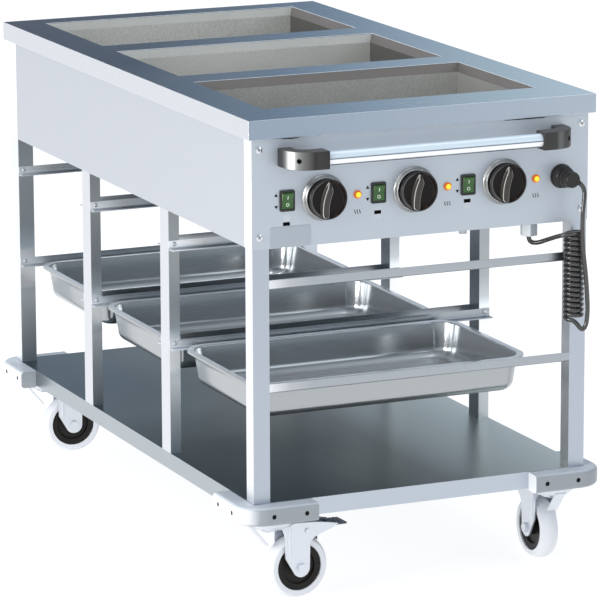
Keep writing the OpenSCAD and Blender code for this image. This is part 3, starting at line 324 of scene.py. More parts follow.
def set_shine(mat, value):
    shader_of(mat).inputs["Specular IOR Level"].default_value = value


def set_glow(mat, color, strength):
    shader_of(mat).inputs["Emission Color"].default_value = (*color, 1)
    shader_of(mat).inputs["Emission Strength"].default_value = strength


def material(name, color, rough=0.4, metal=0.0, coat=0.0, shine=None):
    mat = bpy.data.materials.new(name)
    mat.use_nodes = True
    shader = shader_of(mat)
    shader.inputs["Base Color"].default_value = (*color, 1)
    shader.inputs["Roughness"].default_value = rough
    shader.inputs["Metallic"].default_value = metal
    shader.inputs["Coat Weight"].default_value = coat
    if shine is not None:
        set_shine(mat, shine)
    return mat, mat.node_tree, shader


STRETCH = {"X": (1.5, 60, 60), "Y": (60, 1.5, 60), "Z": (60, 60, 1.5)}


def steel(name, color, rough=0.3, along="X", metal=1.0, seed=0.0, depth=0.00005, vary=0.03, side=None,
          inner_side=None, top=None, slope=(1, 0, 0), offset=0.0, front=None, rise=None, rounds=None,
          calm_top=None, even=False):
    """Satin sheet with a fine grain and faint clouds.

    The tones below paint light and shade. side is the painted tone of faces that look to the left, and
    inner_side that of the ones right of the middle. top is the painted tone of the top faces: a tone, or
    stops along the slope direction from its offset. front gives stops of painted light along X, and rise
    gives pairs of a height and a factor of painted light and shade. rounds is the painted highlight on
    rounded edges. calm_top is how metallic the top face is, and even keeps the roughness nearly the same
    all over.
    """
    mat, tree, shader = material(name, color, rough, metal)
    fine = grain(tree, 16, STRETCH[along], 3, seed)
    cloud = grain(tree, 4, detail=2, seed=seed + 3)
    tone = color
    if front:
        tone = slope_ramp(tree, (1, 0, 0), 0.33, front)
    if rise:
        heights = [(z / TOP, grey(factor)) for z, factor in rise]
        tone = times(tree, axis_ramp(tree, "Z", 0, TOP, heights), tone)
    if side:
        if inner_side:
            past_middle = axis_ramp(tree, "X", -0.01, 0.01, [(0.4, grey(0)), (0.6, grey(1))])
            side = mix(tree, side, inner_side, past_middle)
        tone = mix(tree, tone, side, facing(tree, "X", -0.35, -0.8))
    if top:
        top_tone = slope_ramp(tree, slope, offset, top) if isinstance(top, list) else top
        tone = mix(tree, tone, top_tone, facing(tree, "Z", 0.5, 0.85))
    if rounds:
        tone = mix(tree, tone, rounds, on_rounds(tree))
    brushed = ramp(tree, fine, [(0.25, grey(1 - vary)), (0.75, grey(1 + vary))])
    links(tree, (times(tree, brushed, tone), shader.inputs["Base Color"]))
    smoother, rougher = (0.005, 0.005) if even else (0.04, 0.05)
    streaks = spread(tree, fine, rough - smoother, rough + rougher)
    patches = spread(tree, cloud, -0.02, 0.03)
    links(tree, (math_node(tree, "ADD", streaks, patches), shader.inputs["Roughness"]))
    if depth:
        bump(tree, fine, shader, 0.2, depth)
    if calm_top is not None:
        set_shine(mat, 0.05)
        metallic = spread(tree, facing(tree, "Z", 0.5, 0.85), metal, calm_top, 0, 1)
        links(tree, (metallic, shader.inputs["Metallic"]))
    return mat


def plastic(name, color, rough=0.4, scale=900, depth=0.00008, coat=0.0, vary=0.12, shine=None):
    """Moulded plastic or rubber with a fine grain and faint clouds."""
    mat, tree, shader = material(name, color, rough, 0.0, coat, shine)
    fine = grain(tree, scale, detail=2)
    cloud = grain(tree, 30, seed=5)
    clouded = ramp(tree, cloud, [(0.3, tint(color, 1 - vary)), (0.7, tint(color, 1 + vary))])
    links(tree, (clouded, shader.inputs["Base Color"]),
          (spread(tree, cloud, rough - 0.05, rough + 0.07), shader.inputs["Roughness"]))
    bump(tree, fine, shader, 0.3, depth)
    return mat


def turned_tones(name, color, rough, axis, stops, darkest, seed, metal=0.0, shine=None, brushed=False):
    """A surface whose tone goes with its slope along an axis, as if bright windows shone on it."""
    mat, tree, shader = material(name, color, rough, metal, 0.0, shine)
    if brushed:
        specks = ramp(tree, grain(tree, 16, STRETCH["X"], 3, seed), [(0.25, grey(darkest)), (0.75, grey(1))])
    else:
        specks = ramp(tree, grain(tree, 700, detail=2, seed=seed), [(0.3, grey(darkest)), (0.7, grey(1))])
    links(tree, (times(tree, specks, normal_ramp(tree, axis, stops)), shader.inputs["Base Color"]))
    return mat


def well_steel(name, right_wall, collar_low, collar_high, shade):
    """Speckled steel of a water well. Painted shade darkens the walls that look left and the collar above
    COLLAR_Z.
    """
    color = (0.74, 0.735, 0.695)
    mat, tree, shader = material(name, color, 0.45, 0.45)
    speck = grain(tree, 420, detail=5, seed=2)
    cloud = grain(tree, 9, (1, 1, 1.6), 4, 6)
    looks_left = facing(tree, "X", -0.4, -0.9)
    wall = ramp(tree, speck, [(0.3, tint(color, 0.80 * shade)), (0.7, tint(color, 1.10 * shade))])
    wall = mix(tree, wall, right_wall, looks_left)
    collar = ramp(tree, speck, [(0.3, collar_low), (0.7, collar_high)])
    # Painted shade: the collar's faces that look to the left are darker still
    collar = mix(tree, collar, (0.19, 0.175, 0.165), looks_left)
    in_collar = spread(tree, place_along(tree, "Z"), 0, 1, COLLAR_Z, COLLAR_Z + 0.0005)
    clouds = ramp(tree, cloud, [(0.25, (0.90, 0.905, 0.90)), (0.8, grey(1))])
    links(tree, (times(tree, mix(tree, wall, collar, in_collar), clouds), shader.inputs["Base Color"]),
          (spread(tree, speck, 0.38, 0.52), shader.inputs["Roughness"]))
    bump(tree, speck, shader, 0.35, 0.0002)
    return mat


# Materials of the sheet parts
COLLAR_Z = 0.8235
# Painted reflection on the worktop's top faces: tones along a slanted line across the top
PAINTED_TOP_REFLECTION = [
    (0.0, (0.001, 0.010, 0.034)), (0.5, (0.010, 0.030, 0.058)), (0.84, (0.070, 0.112, 0.158)),
    (0.95, (0.078, 0.126, 0.186)), (1.12, (0.124, 0.190, 0.255)), (1.27, (0.182, 0.252, 0.322)),
    (1.62, (0.30, 0.395, 0.45)), (1.9, (0.40, 0.50, 0.57))]
# Painted shadow under the worktop's lip: the side panels are darker above the lip's lower edge
LIP_SHADOW = [(0.0, 1.0), (LIP_BOTTOM, 1.0), (LIP_BOTTOM + 0.0006, 0.35), (TOP, 0.35)]
# Painted light on the posts: bright beside the lower guides and darker further up
POST_LIGHT_BANDS = [(0.0, 0.75), (0.13, 0.72), (0.25, 0.85), (0.325, 1.0), (0.345, 1.75), (0.385, 1.75), (0.41, 1.0),
        (0.45, 0.72), (0.62, 0.55)]
THIN = 0.00002
looks = {}
# The worktop's pale left faces, the front's gradient along X and the white rounded edges are painted light
looks["top"] = steel(
    "worktop_steel", (0.40, 0.47, 0.56), 0.24, "X", seed=1, side=(0.70, 0.72, 0.76), top=PAINTED_TOP_REFLECTION,
    slope=(1 / TOP_WIDTH, -0.9 / TOP_LENGTH, 0), offset=0.962, depth=THIN, vary=0.012,
    front=[(0.0, (0.31, 0.375, 0.46)), (0.66, (0.42, 0.48, 0.55))], rounds=grey(1.0), calm_top=0.02)
# The panels' near white left faces are painted light
looks["panel"] = steel("panel_steel", (0.49, 0.535, 0.585), 0.46, "X", metal=0.6, seed=2,
                       side=(0.97, 0.97, 0.98), depth=THIN, vary=0.015)
# Painted fill light: the panel glows faintly to soften its shade, though it is no lamp
set_glow(looks["panel"], (0.80, 0.90, 1.0), 0.05)
looks["side"] = steel("side_steel", (0.63, 0.655, 0.70), 0.42, "Y", seed=3, depth=THIN, vary=0.01, rise=LIP_SHADOW)
# The post steels are lit and shaded copies of one steel: their pale left faces, the far post's lighter tone,
# the dark left faces of the right-hand posts and the bands by height are painted light and shade
looks["post"] = steel("frame_steel", (0.48, 0.525, 0.585), 0.34, "Z", seed=4, side=(0.88, 0.89, 0.91),
                      depth=THIN)
looks["post_mid"] = steel("frame_steel_mid", (0.62, 0.66, 0.68), 0.34, "Z", seed=16,
                          side=(0.74, 0.755, 0.785), inner_side=(0.20, 0.23, 0.27), depth=THIN, rise=POST_LIGHT_BANDS)
looks["post_far"] = steel("frame_steel_far", (0.78, 0.83, 0.86), 0.34, "Z", seed=4,
                          side=(0.90, 0.92, 0.95), depth=THIN, rise=POST_LIGHT_BANDS)
looks["post_right"] = steel("frame_steel_right", (0.58, 0.62, 0.68), 0.34, "Z", seed=15,
                            side=(0.22, 0.25, 0.29), depth=THIN)
# The guides are painted lighter towards their left ends: painted light
looks["guide"] = steel(
    "guide_steel", (0.41, 0.43, 0.45), 0.3, "X", seed=5, depth=THIN,
    front=[(0.0, (0.95, 0.97, 1.0)), (0.035, (0.90, 0.92, 0.95)), (0.085, (0.50, 0.52, 0.54)),
           (0.13, (0.40, 0.43, 0.46)), (0.66, (0.40, 0.43, 0.46))])
# The shelf's darker left faces and the tones across its top are painted shade and reflection
looks["shelf"] = steel(
    "shelf_steel", (0.50, 0.55, 0.61), 0.30, "Y", seed=6, side=(0.42, 0.46, 0.49), depth=0.0, vary=0.006,
    even=True, offset=0.33,
    top=[(0.0, (0.070, 0.125, 0.165)), (0.15, (0.095, 0.145, 0.170)), (0.30, (0.16, 0.182, 0.178)),
         (0.38, (0.20, 0.213, 0.200)), (0.46, (0.40, 0.44, 0.42)), (0.66, (0.74, 0.80, 0.76))])
# The pans' upward faces are painted lighter: painted light
looks["pan"] = steel("pan_steel", (0.42, 0.44, 0.45), 0.15, "X", seed=7, depth=THIN, vary=0.015, metal=0.85,
                     top=grey(1.0))
looks["screw"] = steel("screw_steel", (0.70, 0.72, 0.74), 0.2, "X", seed=9)
looks["zinc"] = steel("zinc", (0.72, 0.75, 0.80), 0.30, "Z", seed=10, metal=0.75)
looks["bezel"] = steel("bezel_metal", (0.43, 0.43, 0.42), 0.32, "Z", seed=11, metal=0.9)
looks["heater"] = steel("heater_metal", grey(0.2), 0.5, "X", seed=12)
looks["plate"] = steel("bare_plate", (0.43, 0.475, 0.52), 0.46, "X", metal=0.6, seed=13, depth=THIN)
# The front well is a shaded copy: its walls and collar are darker by painted shade
looks["front_well"] = well_steel("well_steel_front", (0.40, 0.40, 0.38), (0.210, 0.192, 0.176),
                                 (0.240, 0.220, 0.202), 0.74)
looks["well"] = well_steel("well_steel", (0.125, 0.125, 0.117), (0.50, 0.50, 0.47), (0.60, 0.60, 0.56), 0.95)

# Materials of the casters and bumpers
# The bumpers' white left faces, lighter tops and darker fronts are painted light and shade
looks["bumper"] = steel("bumper_plastic", (0.315, 0.34, 0.365), 0.36, "X", metal=0.0, seed=14,
                        side=(0.78, 0.80, 0.82), top=(0.53, 0.575, 0.62))
looks["tyre"] = plastic("tyre_grey", (0.76, 0.775, 0.81), 0.5, 700, vary=0.03)
looks["hub"] = plastic("wheel_centre", (0.013, 0.010, 0.009), 0.42, 800, vary=0.2, shine=0.25)
looks["black_screw"] = plastic("black_screw", (0.003, 0.003, 0.004), 0.5, shine=0.15)
looks["pedal"] = plastic("brake_steel", (0.035, 0.055, 0.085), 0.42, 600)

# Materials of the handle
# Painted reflection on the handle tube: bright and dark bands by the slope of its surface
looks["bar"] = turned_tones(
    "handle_tube", (0.9, 0.92, 0.95), 0.2, "Z",
    [(-1.0, (0.06, 0.07, 0.08)), (-0.80, (0.07, 0.08, 0.09)), (-0.66, (0.95, 0.97, 1.0)),
     (-0.08, (0.97, 0.98, 1.0)), (0.0, (0.16, 0.19, 0.23)), (0.10, (0.20, 0.25, 0.30)),
     (0.17, (0.62, 0.72, 0.79)), (0.6, (0.70, 0.80, 0.86)), (1.0, (0.62, 0.72, 0.80))],
    0.98, 8, metal=0.12, brushed=True)
BRACKET_REACH = 0.266
# Painted reflection on the brackets along X: a dark outer edge, a white highlight on the shoulder and darker
# tones further in
BRACKET_PAINTED_SHEEN = [
    (0.0, (0.035, 0.037, 0.038)), (0.0008, grey(0.11)), (0.0038, grey(0.22)), (0.0065, grey(0.42)),
    (0.0085, grey(0.82)), (0.0150, grey(0.92)), (0.0190, grey(0.82)), (0.0222, grey(0.36)),
    (0.0300, (0.22, 0.22, 0.215)), (0.0400, (0.155, 0.155, 0.15)), (0.0545, (0.11, 0.11, 0.105)),
    (0.0677, (0.07, 0.068, 0.067)), (0.0789, (0.036, 0.030, 0.031)), (0.0902, (0.05, 0.046, 0.046)),
    (0.1128, (0.045, 0.043, 0.042)), (0.1278, grey(0.032)), (0.85, (0.050, 0.048, 0.047)),
    (0.9170, (0.050, 0.049, 0.048)), (0.9280, (0.14, 0.145, 0.14)), (0.9400, (0.13, 0.135, 0.13)),
    (0.9520, grey(0.060)), (0.9750, grey(0.034))]
looks["bracket"], tree, shader = material("handle_plastic", grey(0.06), 0.4, shine=0.2)
sheen = axis_ramp(tree, "X", -BRACKET_REACH, BRACKET_REACH, BRACKET_PAINTED_SHEEN)
# Painted light and shade: the top faces lighter and the undersides darker
sheen = mix(tree, sheen, (0.078, 0.073, 0.070), facing(tree, "Z", 0.55, 0.8))
sheen = mix(tree, sheen, grey(0.02), facing(tree, "Z", -0.55, -0.8))
fine = grain(tree, 900, detail=2)
specks = ramp(tree, fine, [(0.3, grey(0.93)), (0.7, grey(1))])
links(tree, (times(tree, specks, sheen), shader.inputs["Base Color"]))
bump(tree, fine, shader, 0.2, THIN)

# Materials of the controls
looks["knob"] = plastic("knob_plastic", (0.007, 0.006, 0.006), 0.3, 1300, 0.00003, coat=0.15, vary=0.15)
# The knob's dish and grip carry painted highlights and shade by the slope of their faces along X
looks["knob_in"] = turned_tones(
    "knob_dish", (0.04, 0.034, 0.03), 0.4, "X",
    [(-1.0, (0.010, 0.008, 0.007)), (-0.50, (0.011, 0.009, 0.008)), (-0.42, (0.045, 0.030, 0.022)),
     (-0.34, (0.045, 0.030, 0.022)), (-0.15, (0.014, 0.011, 0.010)), (0.15, (0.012, 0.010, 0.009)),
     (0.35, (0.22, 0.21, 0.20)), (0.70, (0.22, 0.21, 0.20)), (0.9, (0.02, 0.017, 0.015))],
    0.90, 4, shine=0.15)
looks["knob_grip"] = turned_tones(
    "knob_grip", (0.05, 0.045, 0.04), 0.4, "X",
    [(-1.0, (0.050, 0.042, 0.036)), (-0.80, (0.075, 0.068, 0.060)), (-0.62, (0.70, 0.68, 0.65)),
     (-0.42, (0.70, 0.68, 0.65)), (-0.20, (0.095, 0.085, 0.078)), (0.10, (0.050, 0.045, 0.042)),
     (0.30, (0.060, 0.052, 0.046)), (0.42, (0.46, 0.44, 0.41)), (0.68, (0.46, 0.44, 0.41)),
     (0.82, (0.024, 0.020, 0.018))],
    0.92, 6, shine=0.2)
looks["switch"] = plastic("switch_black", grey(0.012), 0.3, 1300, 0.00003)
looks["rocker"], tree, shader = material("rocker_green", (0.040, 0.118, 0.036), 0.35, coat=0.1, shine=0.3)
green = ramp(tree, grain(tree, 30, seed=5), [(0.3, (0.036, 0.105, 0.028)), (0.7, (0.045, 0.125, 0.034))])
# Painted light: the rockers' faces that look left and down are lighter
green = mix(tree, green, (0.26, 0.36, 0.19), facing(tree, "X", -0.25, -0.6))
green = mix(tree, green, (0.10, 0.22, 0.08), facing(tree, "Z", -0.20, -0.5))
links(tree, (green, shader.inputs["Base Color"]))
looks["lamp_ring"] = plastic("lamp_orange", (0.60, 0.14, 0.015), 0.3)
set_glow(looks["lamp_ring"], (1.0, 0.22, 0.01), 0.22)
looks["lamp"] = plastic("lamp_glow", (1.0, 0.60, 0.03), 0.3, coat=0.4, vary=0.03)
set_glow(looks["lamp"], (1.0, 0.55, 0.02), 1.1)
# Black print, also used as painted shade in the slits under the lip, the screw recesses and the brackets'
# screw holes
looks["print_and_shade"] = plastic("print_and_shade_black", grey(0.003), 0.8, shine=0.05)
looks["ink_pale"] = plastic("ink_pale", (0.56, 0.60, 0.645), 0.45, vary=0.03)
looks["white"] = plastic("mark_white", (0.70, 0.80, 0.66), 0.4, vary=0.02)

# Materials of the plug, the cord and what hangs under the body
looks["plug"] = plastic("plug_rubber", (0.020, 0.018, 0.017), 0.36, depth=0.0001, shine=0.35)
looks["cord"] = plastic("cord_rubber", (0.030, 0.028, 0.026), 0.14, depth=THIN, coat=0.8, vary=0.1)
# The gland's tone by slope is painted light: pale on the left, darker on the right
looks["gland"] = turned_tones(
    "gland_grey", (0.5, 0.54, 0.58), 0.4, "X",
    [(-1.0, (0.80, 0.82, 0.84)), (-0.55, (0.80, 0.82, 0.84)), (-0.45, (0.50, 0.54, 0.57)),
     (0.1, (0.46, 0.50, 0.54)), (0.6, (0.30, 0.33, 0.36))],
    0.95, 9, shine=0.3)
looks["stub"] = plastic("stub_grey", (0.58, 0.60, 0.62), 0.4, vary=0.05)
cord_curve.materials.append(looks["cord"])

# Finish of the CAD solids
WELD = 0.00001
smooth_groups = {}


def smooth_group(angle):
    """A node group that keeps edges sharper than the angle sharp."""
    group = bpy.data.node_groups.new(f"smooth_{angle}", "GeometryNodeTree")
    for way in ("INPUT", "OUTPUT"):
        group.interface.new_socket("Geometry", in_out=way, socket_type="NodeSocketGeometry")
    start = group.nodes.new("NodeGroupInput")
    end = group.nodes.new("NodeGroupOutput")
    edge_angle = group.nodes.new("GeometryNodeInputMeshEdgeAngle")
    is_flat = group.nodes.new("FunctionNodeCompare")
    is_flat.data_type = "FLOAT"
    is_flat.operation = "LESS_EQUAL"
    is_flat.inputs["B"].default_value = math.radians(angle)
    faces = group.nodes.new("GeometryNodeSetShadeSmooth")
    faces.domain = "FACE"
    edges = group.nodes.new("GeometryNodeSetShadeSmooth")
    edges.domain = "EDGE"
    links(group, (start.outputs[0], faces.inputs["Geometry"]),
          (faces.outputs["Geometry"], edges.inputs["Geometry"]),
          (edge_angle.outputs["Unsigned Angle"], is_flat.inputs["A"]),
          (is_flat.outputs["Result"], edges.inputs["Shade Smooth"]),
          (edges.outputs["Geometry"], end.inputs[0]))
    return group


def smooth_angle(obj, angle):
    if angle not in smooth_groups:
        smooth_groups[angle] = smooth_group(angle)
    obj.modifiers.new("smooth", "NODES").node_group = smooth_groups[angle]


def dress(name, look, bevel=0.0, segments=2, angle=35, flat=False):
    """Gives a CAD node its material and soft edges. flat joins the triangles of its flat faces first."""
    obj = nodes[name]
    mesh = obj.data
    mesh.materials.clear()
    mesh.materials.append(looks[look])
    for polygon in mesh.polygons:
        polygon.material_index = 0
    if "custom_normal" in mesh.attributes:
        mesh.attributes.remove(mesh.attributes["custom_normal"])
    mesh.shade_smooth()
    obj.modifiers.new("weld", "WELD").merge_threshold = WELD
    if flat:
        plain = obj.modifiers.new("plain", "DECIMATE")
        plain.decimate_type = "DISSOLVE"
        plain.angle_limit = math.radians(0.5)
    if bevel:
        rounding = obj.modifiers.new("bevel", "BEVEL")
        rounding.width = bevel
        rounding.segments = segments
        rounding.limit_method = "ANGLE"
        rounding.angle_limit = math.radians(angle)
        rounding.use_clamp_overlap = True
        rounding.harden_normals = False
    smooth_angle(obj, angle)
    if bevel:
        obj.modifiers.new("even", "WEIGHTED_NORMAL").keep_sharp = True


dress("worktop", "top", 0.0016, 3, flat=True)
for name in ("control_panel", "rear_panel", "bottom_cover"):
    dress(name, "panel")
dress("side_panels", "side")
for corner, look in zip(CORNERS, ("post", "post", "post_far", "post_right")):
    dress("post_" + corner, look, 0.0015, 3, flat=True)
dress("mid_posts", "post_mid", 0.0012, 3, flat=True)
dress("upper_guides", "guide")
dress("lower_guides", "guide")
dress("shelf", "shelf", 0.001, 2, flat=True)
dress("well_front", "front_well")
dress("well_middle", "well")
dress("well_rear", "well")
dress("heating_elements", "heater")
dress("thermostats", "heater")
dress("drain_stub", "stub", 0.0008)
dress("cable_gland", "gland", 0.0012)
for corner in CORNERS:
    dress("bumper_" + corner, "bumper", 0.0012, angle=50)
    dress("fork_" + corner, "zinc", 0.0005)
    dress("wheel_" + corner, "hub", 0.0006)
    dress("tyre_" + corner, "tyre", 0.0008)
dress("bumper_screws", "black_screw")
dress("screws", "screw")
dress("caster_plates", "zinc", 0.0005)
for corner in ("front_left", "rear_left"):
    dress("brake_pedal_" + corner, "pedal", 0.0004)
dress("handle_bar", "bar")
dress("handle_brackets", "bracket", 0.0010)
dress("knob_bezels", "bezel", 0.0004)
for side in SIDES:
    dress("knob_" + side, "knob")
    dress("rocker_" + side, "rocker", 0.0011, 3)
dress("switch_frames", "switch", 0.0006)
dress("lamps", "lamp_ring")
dress("plug_holder", "plug", 0.0006)
dress("plug", "plug", 0.0007)


# Building blocks of the drawn pieces. A shape is a list of points and a list of faces.

def piece(name, shape, look, body, smooth=True, angle=35, more=(), which=()):
    """A new mesh that rides on a body. more names further looks, and which gives each face's look."""
    verts, faces = shape
    mesh = bpy.data.meshes.new(name)
    mesh.from_pydata([tuple(v) for v in verts], [], faces)
    for key in (look, *more):
        mesh.materials.append(looks[key])
    for polygon, index in zip(mesh.polygons, which):
        polygon.material_index = index
    edit = bmesh.new()
    edit.from_mesh(mesh)
    bmesh.ops.recalc_face_normals(edit, faces=edit.faces)
    edit.to_mesh(mesh)
    edit.free()
    obj = bpy.data.objects.new(name, mesh)
    scene.collection.objects.link(obj)
    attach(obj, body)
    if smooth:
        mesh.shade_smooth()
        smooth_angle(obj, angle)
    return obj


def loft(rings, close_ends=True):
    """Faces between each ring of points and the next, and over the two ends."""
    n = len(rings[0])
    verts = [point for ring in rings for point in ring]
    faces = []
    for j in range(len(rings) - 1):
        for k in range(n):
            after = (k + 1) % n
            faces.append((j * n + k, j * n + after, (j + 1) * n + after, (j + 1) * n + k))
    if close_ends:
        faces.append(tuple(range(n - 1, -1, -1)))
        faces.append(tuple((len(rings) - 1) * n + k for k in range(n)))
    return verts, faces


def circle(radius, n, centre=(0, 0)):
    return [(centre[0] + radius * cosd(360 * k / n), centre[1] + radius * sind(360 * k / n))
            for k in range(n)]


def lathe(profile, n, place):
    """Rings of (radius, height) round an axis."""
    return loft([[place(u, v, height) for u, v in circle(radius, n)] for radius, height in profile])


def slab(outline, place, low, high):
    return loft([[place(u, v, height) for u, v in outline] for height in (low, high)])


def joined(shapes):
    """Several shapes as one, and the number of the shape that each face comes from."""
    verts, faces, owner = [], [], []
    for number, (shape_verts, shape_faces) in enumerate(shapes):
        faces += [tuple(i + len(verts) for i in face) for face in shape_faces]
        owner += [number] * len(shape_faces)
        verts += shape_verts
    return (verts, faces), owner


def on_panel(x, z):
    """Places a shape on the control panel: first axis to the right, second up, third out of the panel."""
    return lambda u, v, height: Vector((x + u, Y_PANEL - height, z + v))


def box_outline(width, height):
    return [(-width / 2, -height / 2), (width / 2, -height / 2), (width / 2, height / 2),
            (-width / 2, height / 2)]


def rounded(width, height, radius, steps=6):
    """A box's outline with rounded corners."""
    x = width / 2 - radius
    y = height / 2 - radius
    corners = ((x, y), (-x, y), (-x, -y), (x, -y))
    return [(cx + radius * cosd(angle), cy + radius * sind(angle))
            for q, (cx, cy) in enumerate(corners) for angle in arc(90 * q, 90 * q + 90, steps)]


# Pans with a rolled rim and drawn corners
PAN_LENGTH = 0.530
PAN_WIDTH = 0.325
PAN_DEPTH = 0.065
PAN_SHEET = 0.001
PAN_RIM = 0.0125
PAN_LIP = 0.0045
PAN_CORNER = 0.048
PAN_TAPER = 0.006
PAN_FOOT = 0.021
RIM_BEND = 0.003
RIM_EDGE = 0.0015
RIM_INSIDE = 0.0012
WALL_SHARE = 0.35
WALL_DROP = 0.3
CORNER_STEPS = 16
FOOT_STEPS = 8
LOWER_GUIDE = TOP - 0.452 - 0.016
Z_PAN = LOWER_GUIDE + 0.0018 + PAN_LIP
FIRST_PAN_Y = Y_POST + 0.201
PAN_STEP = 0.382
PAN_X = {"front": -0.033, "middle": -0.033, "rear": -0.018}


def pan_ring(inset, z, cx, cy):
    """A level ring of the pan, inset from the rim's edge. z is below the rim."""
    radius = max(PAN_CORNER - inset, PAN_FOOT / 2)
    x = PAN_LENGTH / 2 - inset - radius
    y = PAN_WIDTH / 2 - inset - radius
    corners = ((x, y), (-x, y), (-x, -y), (x, -y))
    return [Vector((cx + ox + radius * cosd(angle), cy + oy + radius * sind(angle), Z_PAN + z))
            for q, (ox, oy) in enumerate(corners) for angle in arc(90 * q, 90 * q + 90, CORNER_STEPS)]


def pan_rows():
    """Inset and height of each ring, from the underside of the floor round the rim to the floor inside."""
    foot = PAN_RIM + PAN_TAPER
    inner_foot = PAN_FOOT - PAN_SHEET
    wall = PAN_RIM + WALL_SHARE * PAN_TAPER
    rows = [(foot - PAN_SHEET + PAN_FOOT * (1 - cosd(a)), -PAN_DEPTH + PAN_FOOT * (1 - sind(a)))
            for a in arc(90, 0, FOOT_STEPS)]
    rows.append((wall - PAN_SHEET, -WALL_DROP * PAN_DEPTH))
    rows += [(PAN_RIM - PAN_SHEET - RIM_BEND * sind(a), -PAN_SHEET - RIM_BEND * cosd(a))
             for a in arc(0, 90, 5)[1:]]
    rows += [(PAN_SHEET + RIM_INSIDE, -PAN_SHEET), (PAN_SHEET, -PAN_SHEET - RIM_INSIDE),
             (PAN_SHEET, -PAN_LIP), (0, -PAN_LIP), (0, -RIM_EDGE)]
    rows += [(RIM_EDGE * (1 - cosd(a)), -RIM_EDGE * (1 - sind(a))) for a in arc(0, 90, 4)[1:]]
    # A shallow bead along the rim
    rows += [(PAN_RIM * 0.35, 0), (PAN_RIM * 0.5, -0.0002)]
    rows += [(PAN_RIM - RIM_BEND + RIM_BEND * sind(a), -RIM_BEND * (1 - cosd(a))) for a in arc(0, 90, 4)]
    rows.append((wall, -WALL_DROP * PAN_DEPTH))
    rows += [(foot + inner_foot * (1 - cosd(a)), -PAN_DEPTH + PAN_SHEET + inner_foot * (1 - sind(a)))
             for a in arc(0, 90, FOOT_STEPS)]
    # The floor sinks a little towards its middle
    rows += [(foot + PAN_FOOT + share, -PAN_DEPTH + PAN_SHEET - sink)
             for share, sink in ((0.02, 0.0003), (0.06, 0.0004))]
    return rows


for i, (name, x) in enumerate(PAN_X.items()):
    y = FIRST_PAN_Y + PAN_STEP * i
    shape = loft([pan_ring(inset, z, x, y) for inset, z in pan_rows()])
    pan = piece("drawn_pan_" + name, shape, "pan", "pan_" + name, angle=60)
    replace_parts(pan, "pan_" + name)

# Knobs: a dished face in a rounded rim, with a curved grip across it. Profiles are (radius, height).
KNOB_STEPS = 96
RIM_R = 0.0325
RIM_Z = 0.0206
RIM_ROUND = 0.0020
knob_rim = [(0.0310, 0.0084), (0.0316, 0.0094)]
knob_rim += [(RIM_R + RIM_ROUND * cosd(a), RIM_Z + RIM_ROUND * sind(a))
             for a in (-30, 0, 20, 40, 60, 80, 100)]
knob_dish = [(0.0316, 0.0222), (0.0311, 0.0217), (0.0307, 0.0210), (0.0298, 0.0190), (0.0293, 0.0182),
             (0.0286, 0.0177), (0.0276, 0.0175), (0.0200, 0.0173), (0.0080, 0.0173)]
knob_profile = knob_rim + knob_dish

GRIP_STEPS = 44
GRIP_START = -0.0325
GRIP_LENGTH = 0.0605
GRIP_HALF = 0.0056
GRIP_TURN = 13
GRIP_FOOT = 0.0168
GRIP_TOP = 0.0236
# Distance beyond the half width and share of the height, from the grip's foot up its flank
FLANK = [(0.0034, 0.0), (0.0022, 0.22), (0.0012, 0.55), (0.0006, 0.84), (0.0001, 0.93), (-0.0006, 0.985),
         (-0.0014, 1.0)]


def grip_rings():
    """Cross sections of the curved grip, from its lower end up to its narrow upper end."""
    rings = []
    for k in range(GRIP_STEPS + 1):
        y = GRIP_START + GRIP_LENGTH * k / GRIP_STEPS
        middle = -0.0024 + 5.5 * (y + 0.003) ** 2
        left = GRIP_HALF
        right_half = GRIP_HALF
        if y < -0.027:
            left = right_half = GRIP_HALF * math.sqrt(max(0.02, 1 - ((-0.027 - y) / GRIP_HALF) ** 2))
        if y > 0.014:
            right_half = GRIP_HALF - (y - 0.014) / 0.014 * 0.0095
        tall = GRIP_TOP - GRIP_FOOT - max(0.0, y - 0.020) * 0.55
        section = [(-left - beyond, share) for beyond, share in FLANK]
        section += [(-left * 0.4, 0.985), ((right_half - left) / 2, 0.975), (right_half * 0.4, 0.985)]
        section += [(right_half + beyond, share) for beyond, share in reversed(FLANK)]
        rings.append([((middle + u) * cosd(GRIP_TURN) + y * sind(GRIP_TURN),
                       -(middle + u) * sind(GRIP_TURN) + y * cosd(GRIP_TURN),
                       GRIP_FOOT + tall * share) for u, share in section])
    return rings


for side, x in zip(SIDES, KNOB_X):
    place = on_panel(x, Z_KNOB)
    body = lathe(knob_profile, KNOB_STEPS, place)
    grip = loft([[place(*point) for point in ring] for ring in grip_rings()])
    shape, _ = joined([body, grip])
    which = [0] * KNOB_STEPS * (len(knob_rim) - 1) + [1] * KNOB_STEPS * len(knob_dish) + [0, 1]
    which += [2] * len(grip[1])
    knob = piece("drawn_knob_" + side, shape, "knob", "knob_" + side, angle=50,
                 more=("knob_in", "knob_grip"), which=which)
    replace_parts(knob, "knob_" + side)

# Rings round the knobs, all in one piece
RING_PROFILE = [
    (0.0360, 0.0002), (0.0392, 0.0002), (0.0395, 0.0006), (0.0395, 0.0014), (0.0390, 0.0022),
    (0.0382, 0.0028), (0.0372, 0.0042), (0.0362, 0.0064), (0.0353, 0.0082), (0.0348, 0.0090),
    (0.0340, 0.0094), (0.0332, 0.0092), (0.0326, 0.0084), (0.0320, 0.0060), (0.0180, 0.0050)]
shape, _ = joined([lathe(RING_PROFILE, KNOB_STEPS, on_panel(x, Z_KNOB)) for x in KNOB_X])
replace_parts(piece("drawn_bezels", shape, "bezel", "frame", angle=60), "knob_bezels")

